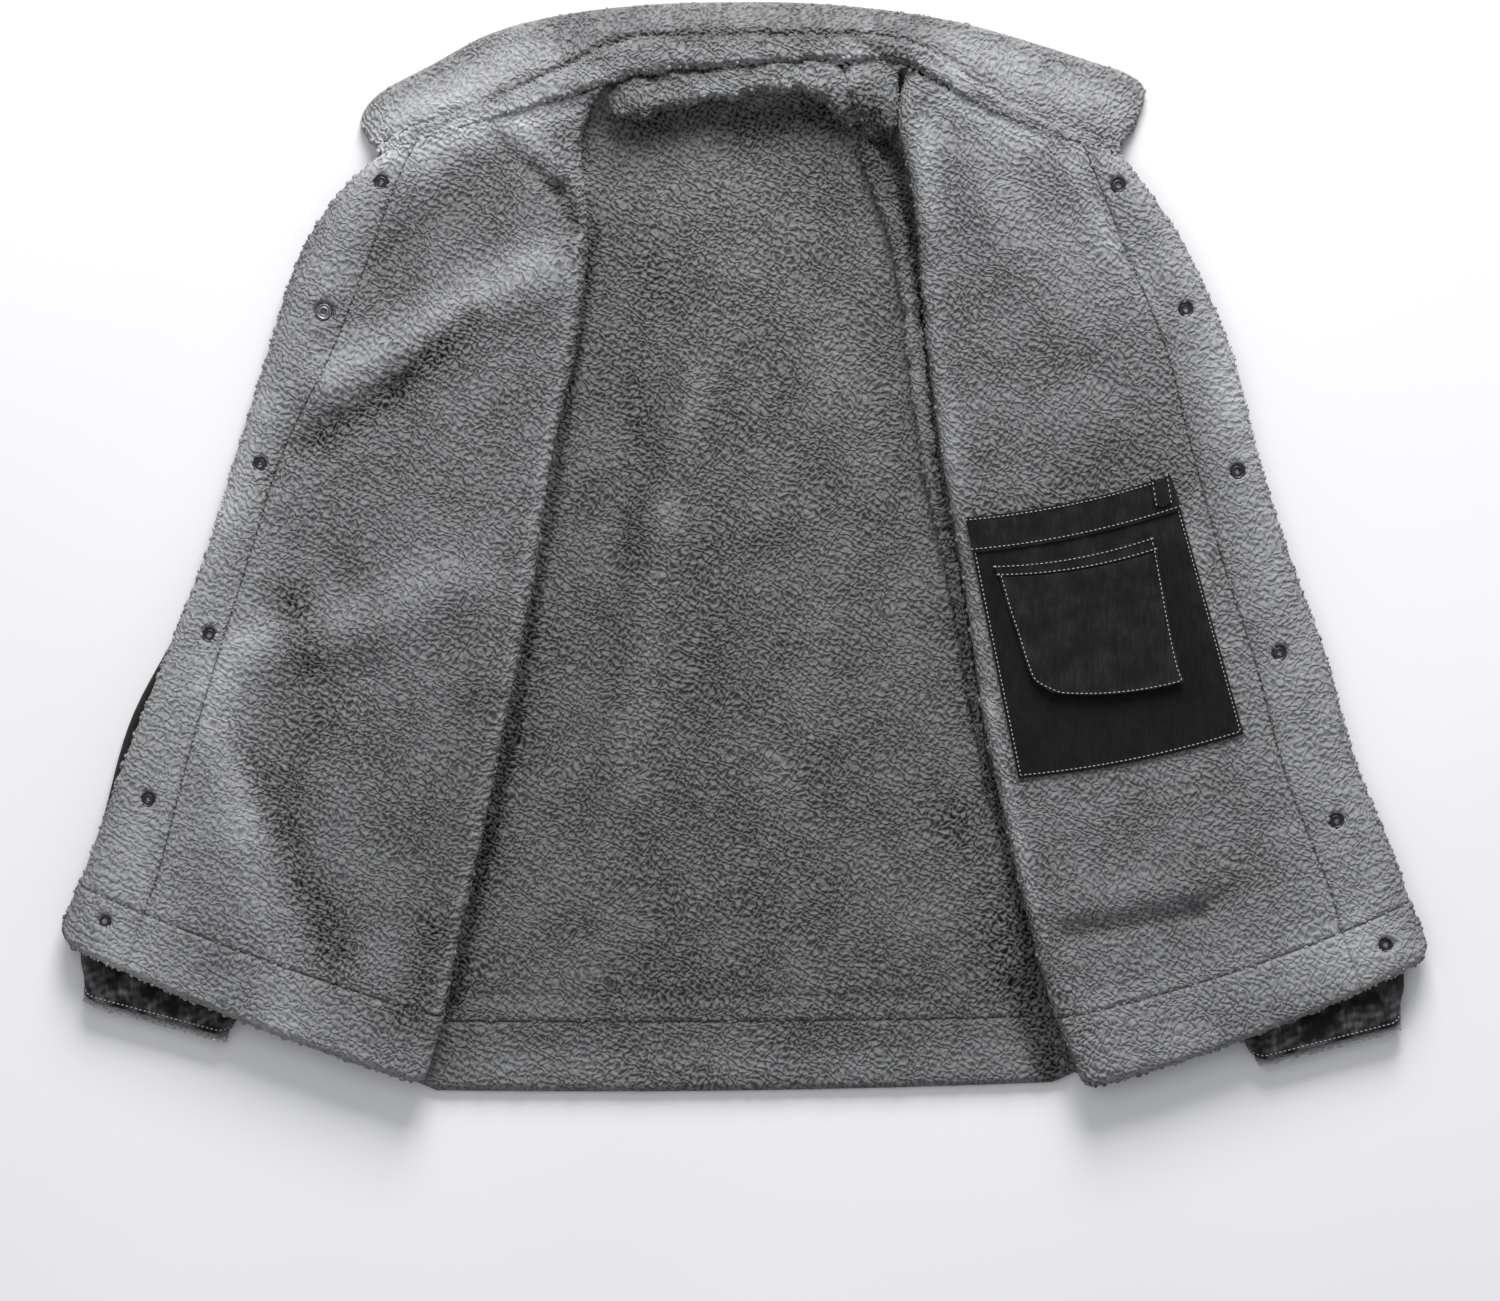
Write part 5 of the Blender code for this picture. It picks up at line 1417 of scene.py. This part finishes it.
def make_collar():
    """The collar's fleece over its denim."""
    stations = collar_stations()[0]
    edge = 1 - np.sin(np.linspace(0, math.pi / 2, EDGE_STEPS + 1))
    fractions = np.linspace(0.0, 1 - COLLAR_EDGE_SHARE, COLLAR_STEPS, endpoint=False)
    fractions = np.append(fractions, 1 - COLLAR_EDGE_SHARE * edge)
    outer, fluff = collar_grid(stations, fractions, 0.0)
    inner, _ = collar_grid(stations[::COARSE], fractions[::COARSE], PILE)
    piece = wall_piece("fleece_collar_lining", outer, inner, COARSE)
    fleece_piece(piece, fluff, "sherpa_front", COLLAR_NUMBER)
    stations = stations[COARSE:-COARSE:COARSE]
    fractions = np.linspace(0.0, COLLAR_SHELL_END, COLLAR_SHELL_STEPS)
    outer, _ = collar_grid(stations, fractions, PILE + SEAM_GAP)
    inner, _ = collar_grid(stations, fractions, WALL)
    piece = wall_piece("denim_collar", outer, inner)
    denim_piece(piece, 0.0, "collar_shell")


def make_roll(name, slot, number, centre, across, width, top, sides):
    """A soft roll of fleece that lies on the back: rounded sections with a flat underside."""
    angle = 2 * math.pi * (np.arange(sides) + 0.5) / sides
    cos, sin = np.cos(angle), np.sin(angle)
    reach = np.sign(cos) * np.abs(cos) ** ROLL_SQUARENESS / 2
    rise = np.maximum(np.sign(sin) * np.abs(sin) ** ROLL_SQUARENESS, -ROLL_FLAT) / ROLL_FLAT
    flat = centre[:, None] + across[:, None] * (reach[None] * width[:, None])[..., None]
    level = (ON_BACK + top)[:, None] / 2 + rise[None] * (top - ON_BACK)[:, None] / 2
    rings = np.concatenate([flat, np.minimum(level, top[:, None])[..., None]], -1)
    piece = ring_piece("fleece_" + name, rings, False)
    fluff = smooth_step((rings[..., 2] - ON_BACK) / ROLL_PILE_RISE)
    fleece_piece(piece, fluff, slot, number, ROLL_SWELL)


def make_stand():
    """The collar's stand, rolled in front of it."""
    _, row, outward = collar_stations()
    centre = flat_points(row.neck_x, row.neck_y)
    centre = centre + outward * (row.roll_width / 2 + SEAM_GAP)[:, None]
    make_roll("collar_stand", "sherpa_front", STAND_NUMBER, centre, outward, row.roll_width,
              row.roll_top, ROLL_SIDES)


def make_back_roll(name, number):
    """One soft roll of the table, on the back lining."""
    grid = ROLL_GRIDS[name]
    table = ROLL_ROWS[name]
    row = read_rows(table, np.linspace(0.0, len(table) - 1, grid.stations))
    make_roll(name, "sherpa_back", number, flat_points(row.x, row.y), sideways(row.x, row.y),
              row.width, ON_BACK + row.height, grid.sides)


def make_neck_tufts():
    """Tufts that stand out of the seam between the fronts and the collar's stand."""
    ends = (SEAM_TUFT_INSET, len(COLLAR_ROWS) - 1 - SEAM_TUFT_INSET)
    row = read_rows(COLLAR_ROWS, np.linspace(*ends, SEAM_TUFT_STATIONS))
    outward = sideways(row.neck_x, row.neck_y)
    neck = flat_points(row.neck_x, row.neck_y) - outward * NECK_TUFT_BACK
    level = np.minimum(row.roll_top, FRONT_TOP) - NECK_TUFT_SUNK
    points = np.concatenate([np.column_stack([neck + way * outward * SEAM_TUFT_WIDTH / 2, level])
                             for way in (-1, 1)])
    strip = new_piece("tufts_neck_seam", points.tolist(),
                      quads(np.arange(len(points)).reshape(2, -1)))
    x, y, _ = points.T
    set_attribute(strip, "fluff", np.ones(len(points)))
    set_attribute(strip, "rest", points, "FLOAT_VECTOR")
    set_attribute(strip, "rim", (x < NECK_TUFT_LEFT) | (x > NECK_TUFT_RIGHT))
    # The tufts take the same painted light and shade.
    set_attribute(strip, "nap", crease_lift(NAP_AND_SHADE_PATCHES, x, y))
    add_tufts(strip, "sherpa_front", SEAM_TUFT_SEED, SEAM_TUFT_DENSITY, SEAM_TUFT_SIZE)


# ==== inner pocket
class LaidSheets:
    """Denim sheets that lie on the right front's fleece, one over the other."""

    def __init__(self):
        ts = np.linspace(LAID_FROM, LAID_TO, LAID_ROWS)
        columns = front_columns("main")[COARSE + FOLD_STEPS // 2:]
        columns += front_columns("facing")[:LAID_ON_FACING]
        grid, _ = front_grid("right", ts, columns, seamed=False)
        numbers = np.arange(grid.shape[0] * grid.shape[1]).reshape(grid.shape[:2])
        self.surface = BVHTree.FromPolygons(grid.reshape(-1, 3).tolist(), quads(numbers))

    def height(self, x, y):
        """The smooth fleece's height at a place."""
        hit = self.surface.ray_cast(Vector((x, y, RAY_FROM)), Vector((0, 0, -1)))[0]
        return hit.z if hit else FRONT_TOP

    def grid(self, part):
        """Points of a sheet between the lines of a table, lifted over the fleece."""
        line = read_rows(part.lines, np.linspace(0.0, len(part.lines) - 1, part.rows + 1))
        across = np.linspace(0.0, 1.0, part.columns + 1)
        down = np.linspace(0.0, 1.0, part.rows + 1)[:, None]
        x = line.left_x[:, None] + (line.right_x - line.left_x)[:, None] * across
        y = line.left_y[:, None] + (line.right_y - line.left_y)[:, None] * across
        y = y + POCKET_BOW * 4 * across * (1 - across)
        z = np.vectorize(self.height)(x, y) + part.lift + part.proud * down ** 2
        near = np.minimum(np.minimum(across, 1 - across), np.minimum(down, 1 - down))
        wave = np.sin((x + 0.4 * y) * 2 * math.pi / RIPPLE_DOWN)
        wave *= np.sin((y - 0.3 * x) * 2 * math.pi / RIPPLE_ACROSS)
        edge = np.exp(-(near / RIPPLE_REACH) ** 2)
        z += part.pucker * wave * (RIPPLE_INSIDE + (1 - RIPPLE_INSIDE) * edge)
        return np.stack([x, y, z], -1)


def between(top, bottom, share):
    """The line at a share of the way from a top to a bottom line."""
    return Quad(*(a + (b - a) * share for a, b in zip(top, bottom)))


def grid_path(grid, corners):
    """A path on a grid through (down, across) shares, a point every millimetre or so."""
    rows, columns = grid.shape[:2]
    path = []
    for start, end in zip(np.array(corners), np.array(corners[1:])):
        for share in np.linspace(0.0, 1.0, PATH_STEPS):
            down, across = (start + (end - start) * share) * (rows - 1, columns - 1)
            r = min(int(down), rows - 2)
            c = min(int(across), columns - 2)
            near = grid[r, c] * (1 - across + c) + grid[r, c + 1] * (across - c)
            far = grid[r + 1, c] * (1 - across + c) + grid[r + 1, c + 1] * (across - c)
            path.append(near * (1 - down + r) + far * (down - r) + (0, 0, THREAD_RADIUS))
    return path


def pocket_parts():
    """The pocket's sheets, each with its lines, cut and the runs of its topstitching."""
    band = [PATCH_LINES[0], between(*PATCH_LINES, BAND_SHARE)]
    on_patch = ("pocket_patch",)
    return (
        SheetPart("pocket_patch", PATCH_LINES, 84, 68, POCKET_LIFT, DENIM, 0.0, 0.0004,
                  Cut(0.150, 0.190, None, "laid", ("front_lining_right",)),
                  [[(0.14, 0.012), (0.988, 0.012), (0.988, 0.988), (0.14, 0.988)]]),
        SheetPart("pocket_band", band, 14, 68, ON_PATCH, BAND_THICK, 0.0, 0.0003,
                  Cut(0.150, 0.026, None, "laid", on_patch),
                  [[(0.90, 0.0), (0.90, 1.0)], [(0.07, 0.0), (0.07, 1.0)]]),
        SheetPart("pocket_tab", TAB_LINES, 10, 8, ON_BAND, DENIM, 0.0, 0.0,
                  Cut(0.014, 0.019, None, "laid", ("pocket_band",)),
                  [[(0.0, 0.12), (1.0, 0.12)], [(0.0, 0.88), (1.0, 0.88)]]),
        SheetPart("coin_welt", WELT_LINES, 4, 54, ON_PATCH, BAND_THICK, 0.0, 0.0,
                  Cut(0.115, 0.011, None, "laid", on_patch),
                  [[(0.15, 0.0), (0.15, 1.0)], [(0.88, 0.0), (0.88, 1.0)],
                   [(0.15, 0.008), (0.88, 0.008)], [(0.15, 0.992), (0.88, 0.992)]]),
        SheetPart("coin_flap", FLAP_ROWS, 42, 54, ON_PATCH, DENIM, FLAP_PROUD, 0.0004,
                  Cut(0.115, 0.090, None, "laid", on_patch),
                  [[(0.0, 0.015), (0.80, 0.015), (0.955, 0.06), (0.975, 0.10), (0.975, 0.985),
                    (0.0, 0.985)]]))


def make_pocket():
    """Denim pocket with its hemmed band, hanging tab, welt and small flap, all topstitched."""
    sheets = LaidSheets()
    paths = []
    for part in pocket_parts():
        lower = sheets.grid(part)
        upper = lower + (0, 0, part.thick)
        piece = wall_piece("denim_" + part.name, upper, lower)
        bevel = piece.modifiers.new("edge", "BEVEL")
        bevel.width = part.thick * BEVEL_SHARE
        bevel.segments = 2
        settle(piece)
        wear = np.full(len(piece.data.vertices), POCKET_WEAR)
        if part.name == "pocket_patch":
            # Painted shadow of the flap, and painted shade over the patch's lower part and left
            # side.
            wear += crease_lift(FLAP_PAINTED_SHADOWS, *vertex_values(piece).T[:2])
        denim_piece(piece, wear, part.name)
        paths += [grid_path(upper, run) for run in part.runs]
    stitch_piece("pocket_stitches", paths)


# ==== snaps
def make_snap(side, number):
    """One snap: a turned ring that lies as its solid does."""
    name = f"snap_{side}_{number}"
    corners = vertex_values(NODES[name])
    centre = corners.mean(0)
    axis = np.linalg.svd(corners - centre, full_matrices=False)[2][2]
    axis = axis if axis[2] > 0 else -axis
    turn = Vector((0, 0, 1)).rotation_difference(Vector(axis))
    floor = Vector(centre + axis * ((corners - centre) @ axis).min())
    angles = np.linspace(0.0, 2 * math.pi, SNAP_SIDES, endpoint=False)
    rings = [[turn @ Vector((math.cos(angle) * point.radius, math.sin(angle) * point.radius,
                             point.height)) + floor for angle in angles] for point in SNAP_PROFILE]
    piece = ring_piece(f"snap_ring_{side}_{number}", np.array(rings), True)
    tone = PALE_TONE if (side, number) == PALE_SNAP else 1.0
    set_attribute(piece, "tone", np.full(len(piece.data.vertices), tone))
    piece.data.materials.append(finish_of("snap_metal"))
    join_frame(piece, [name])


# ==== settings
COLOUR = {"subtype": "COLOR", "size": 3, "min": 0.0, "max": 1.0}
LENGTH = {"unit": "LENGTH", "min": 0.0}


class FleeceSettings(bpy.types.PropertyGroup):
    """How the curly fleece looks and stands."""

    front_colour: FloatVectorProperty(
        name="Front colour", description="The fleece on the fronts and the collar",
        default=(0.205, 0.206, 0.209), **COLOUR)
    # Painted shade: the back's fleece is coloured darker because it lies lower, in the fronts'
    # shade.
    shaded_back_colour: FloatVectorProperty(
        name="Back colour", description="The fleece on the back, whose nap lies darker",
        default=(0.173, 0.174, 0.176), **COLOUR)
    tuft_height: FloatProperty(
        name="Tuft height", description="From the bottom of a crease in the pile to its tip",
        default=0.0029, **LENGTH)
    tuft_spacing: FloatProperty(
        name="Tuft spacing", description="From one curl of the pile to the next",
        default=0.0041, min=0.001, unit="LENGTH")
    twist: FloatProperty(
        name="Twist", description="How far the curls wander from straight rows", default=15.0)
    twist_scale: FloatProperty(
        name="Twist scale", description="How closely the curls turn", default=165.0)
    swell: FloatProperty(
        name="Swell", description="How unevenly the pile stands over a few tufts",
        default=0.0016, **LENGTH)
    tuft_radius: FloatProperty(
        name="Tuft radius", description="Half the size of a tuft that stands out of an edge",
        default=0.0017, **LENGTH)
    edge_tufts: FloatProperty(
        name="Edge tufts", description="Tufts on a square metre of turned edge",
        default=60000.0, min=0.0)
    # Painted shade at the bottom of the pile's creases and painted light on the tufts' tips.
    crease_shade: FloatProperty(
        name="Crease shade", description="The colour's share at the bottom of a crease",
        default=0.30)
    tip_shade: FloatProperty(
        name="Tip shade", description="The colour's share on a tuft's tip", default=1.08)


class DenimSettings(bpy.types.PropertyGroup):
    """The denim and its thread."""

    colour: FloatVectorProperty(
        name="Denim colour", description="Washed black denim",
        default=(0.0098, 0.0098, 0.0110), **COLOUR)
    worn_colour: FloatVectorProperty(
        name="Worn colour", description="Denim rubbed pale along its puckers",
        default=(0.145, 0.145, 0.150), **COLOUR)
    thread_colour: FloatVectorProperty(
        name="Thread colour", description="The topstitching",
        default=(0.44, 0.43, 0.42), **COLOUR)
    thread_radius: FloatProperty(
        name="Thread radius", description="Half the thread's thickness",
        default=THREAD_RADIUS, **LENGTH)
    stitch_pitch: FloatProperty(
        name="Stitch pitch", description="From one stitch to the next",
        default=STITCH_PITCH, min=0.001, unit="LENGTH")


class SnapSettings(bpy.types.PropertyGroup):
    """The snaps' metal."""

    colour: FloatVectorProperty(
        name="Snap colour", description="Dark plated brass",
        default=(0.055, 0.055, 0.058), **COLOUR)


class StageSettings(bpy.types.PropertyGroup):
    """Floor, light and camera."""

    floor_colour: FloatVectorProperty(
        name="Floor colour", description="The pale table",
        default=(0.88, 0.877, 0.895), **COLOUR)
    lens: FloatProperty(
        name="Lens", description="The camera's focal length in millimetres",
        default=150.0, min=10.0, unit="CAMERA")
    frame_width: FloatProperty(
        name="Frame width", description="How much of the floor the view shows across",
        default=1.08, min=0.1, unit="LENGTH")
    key_power: FloatProperty(
        name="Key light", description="The light beyond the collar",
        default=112.0, min=0.0, unit="POWER")
    sky_strength: FloatProperty(
        name="Sky", description="The even light from all round", default=0.34, min=0.0)


class JacketSettings(bpy.types.PropertyGroup):
    """All that a user would change."""

    fleece: PointerProperty(type=FleeceSettings)
    denim: PointerProperty(type=DenimSettings)
    snaps: PointerProperty(type=SnapSettings)
    stage: PointerProperty(type=StageSettings)


# ==== operators
class JACKET_OT_back(bpy.types.Operator):
    """Make the back: fleece lining, its hem band and the denim under them"""

    bl_idname = "jacket.back"
    bl_label = "Back"
    bl_options = {"REGISTER", "UNDO"}

    def execute(self, context):
        make_back()
        return {"FINISHED"}


class JACKET_OT_fronts(bpy.types.Operator):
    """Make both fronts, folded outward over the sleeves"""

    bl_idname = "jacket.fronts"
    bl_label = "Fronts"
    bl_options = {"REGISTER", "UNDO"}

    def execute(self, context):
        for side, number in zip(SIDES, FRONT_NUMBERS):
            make_front(side, number)
        return {"FINISHED"}


class JACKET_OT_sleeves(bpy.types.Operator):
    """Make the sleeves, the cuffs and their linings"""

    bl_idname = "jacket.sleeves"
    bl_label = "Sleeves"
    bl_options = {"REGISTER", "UNDO"}

    def execute(self, context):
        for side, number in zip(SIDES, SLEEVE_NUMBERS):
            make_denim_sleeve(side)
            make_cuff(side)
            make_sleeve_lining(side, number)
        return {"FINISHED"}


class JACKET_OT_collar(bpy.types.Operator):
    """Make the collar and the soft rolls at the neck"""

    bl_idname = "jacket.collar"
    bl_label = "Collar and neck"
    bl_options = {"REGISTER", "UNDO"}

    def execute(self, context):
        make_collar()
        make_stand()
        for number, name in enumerate(ROLL_ROWS, start=FIRST_ROLL_NUMBER):
            make_back_roll(name, number)
        make_neck_tufts()
        return {"FINISHED"}


class JACKET_OT_pocket(bpy.types.Operator):
    """Make the inner pocket with its band, tab, welt, flap and topstitching"""

    bl_idname = "jacket.pocket"
    bl_label = "Inner pocket"
    bl_options = {"REGISTER", "UNDO"}

    def execute(self, context):
        make_pocket()
        return {"FINISHED"}


class JACKET_OT_snaps(bpy.types.Operator):
    """Make the two rows of snaps"""

    bl_idname = "jacket.snaps"
    bl_label = "Snaps"
    bl_options = {"REGISTER", "UNDO"}

    def execute(self, context):
        for side in SIDES:
            for number in SNAP_NUMBERS:
                make_snap(side, number)
        return {"FINISHED"}


def add_floor(stage):
    """A pale floor that darkens a little towards the viewer, less than the key light alone would
    make it: its colour is painted lighter towards -Y.
    """
    reach = FLOOR_REACH
    floor = new_piece("floor", [(-reach, -reach, 0), (reach, -reach, 0), (reach, reach, 0),
                                (-reach, reach, 0)], [(0, 1, 2, 3)])
    material, maker, inputs = new_material("floor", stage.floor_colour, roughness=0.9,
                                            specular=0.2)
    place = maker.add("ShaderNodeTexCoord")["Object"]
    cloud = maker.noise(place, FLOOR_CLOUD_SCALE)
    painted_light = maker.remap(maker.vector("DOT_PRODUCT", place, (0.0, 1.0, 0.0)), FLOOR_PAINTED_LIGHT)
    tone = maker.times(painted_light, maker.remap(cloud, FLOOR_CLOUDS))
    shade_with(maker, inputs, stage.floor_colour, tone)
    floor.data.materials.append(material)


def add_light(name, spot, size, power):
    """A soft square light aimed at the jacket."""
    light = bpy.data.lights.new(name, "AREA")
    light.shape = "SQUARE"
    light.size = size
    light.energy = power
    lamp = put_in_scene(name, light)
    lamp.location = spot
    lamp.rotation_euler = (-Vector(spot)).to_track_quat("-Z", "Y").to_euler()


def add_sky(strength):
    """Even, slightly cool light from all round."""
    world = bpy.data.worlds.new("sky")
    world.use_nodes = True
    background = world.node_tree.nodes["Background"]
    background.inputs["Color"].default_value = SKY_COLOUR
    background.inputs["Strength"].default_value = strength
    bpy.context.scene.world = world


def add_camera(stage):
    """A camera straight above."""
    lens = bpy.data.cameras.new("overhead")
    lens.lens = stage.lens
    lens.sensor_width = SENSOR_WIDTH
    camera = put_in_scene("overhead", lens)
    camera.location = (*VIEW_CENTRE, stage.lens / lens.sensor_width * stage.frame_width)
    bpy.context.scene.camera = camera


class JACKET_OT_stage(bpy.types.Operator):
    """Make the floor, the light and the camera straight above"""

    bl_idname = "jacket.stage"
    bl_label = "Stage"
    bl_options = {"REGISTER", "UNDO"}

    def execute(self, context):
        stage = context.scene.sherpa_jacket.stage
        add_floor(stage)
        add_light("key", *KEY_LIGHT, stage.key_power)
        add_light("top", *TOP_LIGHT, stage.key_power * TOP_SHARE)
        add_sky(stage.sky_strength)
        context.scene.view_settings.view_transform = "Standard"
        add_camera(stage)
        return {"FINISHED"}


OPERATORS = (JACKET_OT_back, JACKET_OT_fronts, JACKET_OT_sleeves, JACKET_OT_collar,
             JACKET_OT_pocket, JACKET_OT_snaps, JACKET_OT_stage)


class JACKET_PT_panel(bpy.types.Panel):
    """The jacket's pieces and settings"""

    bl_idname = "JACKET_PT_panel"
    bl_label = "Sherpa lined jacket"
    bl_space_type = "VIEW_3D"
    bl_region_type = "UI"
    bl_category = "Jacket"

    def draw(self, context):
        settings = context.scene.sherpa_jacket
        for group in (settings.fleece, settings.denim, settings.snaps, settings.stage):
            box = self.layout.box()
            for name in group.__annotations__:
                box.prop(group, name)
        for operator in OPERATORS:
            self.layout.operator(operator.bl_idname)


CLASSES = (FleeceSettings, DenimSettings, SnapSettings, StageSettings, JacketSettings,
           *OPERATORS, JACKET_PT_panel)


def register():
    """Add the classes and the scene's settings."""
    for item in CLASSES:
        bpy.utils.register_class(item)
    bpy.types.Scene.sherpa_jacket = PointerProperty(type=JacketSettings)


def unregister():
    """Take the settings and the classes away again."""
    del bpy.types.Scene.sherpa_jacket
    for item in reversed(CLASSES):
        bpy.utils.unregister_class(item)


def main():
    """Make the whole jacket."""
    register()
    for operator in OPERATORS:
        group, name = operator.bl_idname.split(".")
        getattr(getattr(bpy.ops, group), name)()
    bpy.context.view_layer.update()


if __name__ == "__main__":
    main()
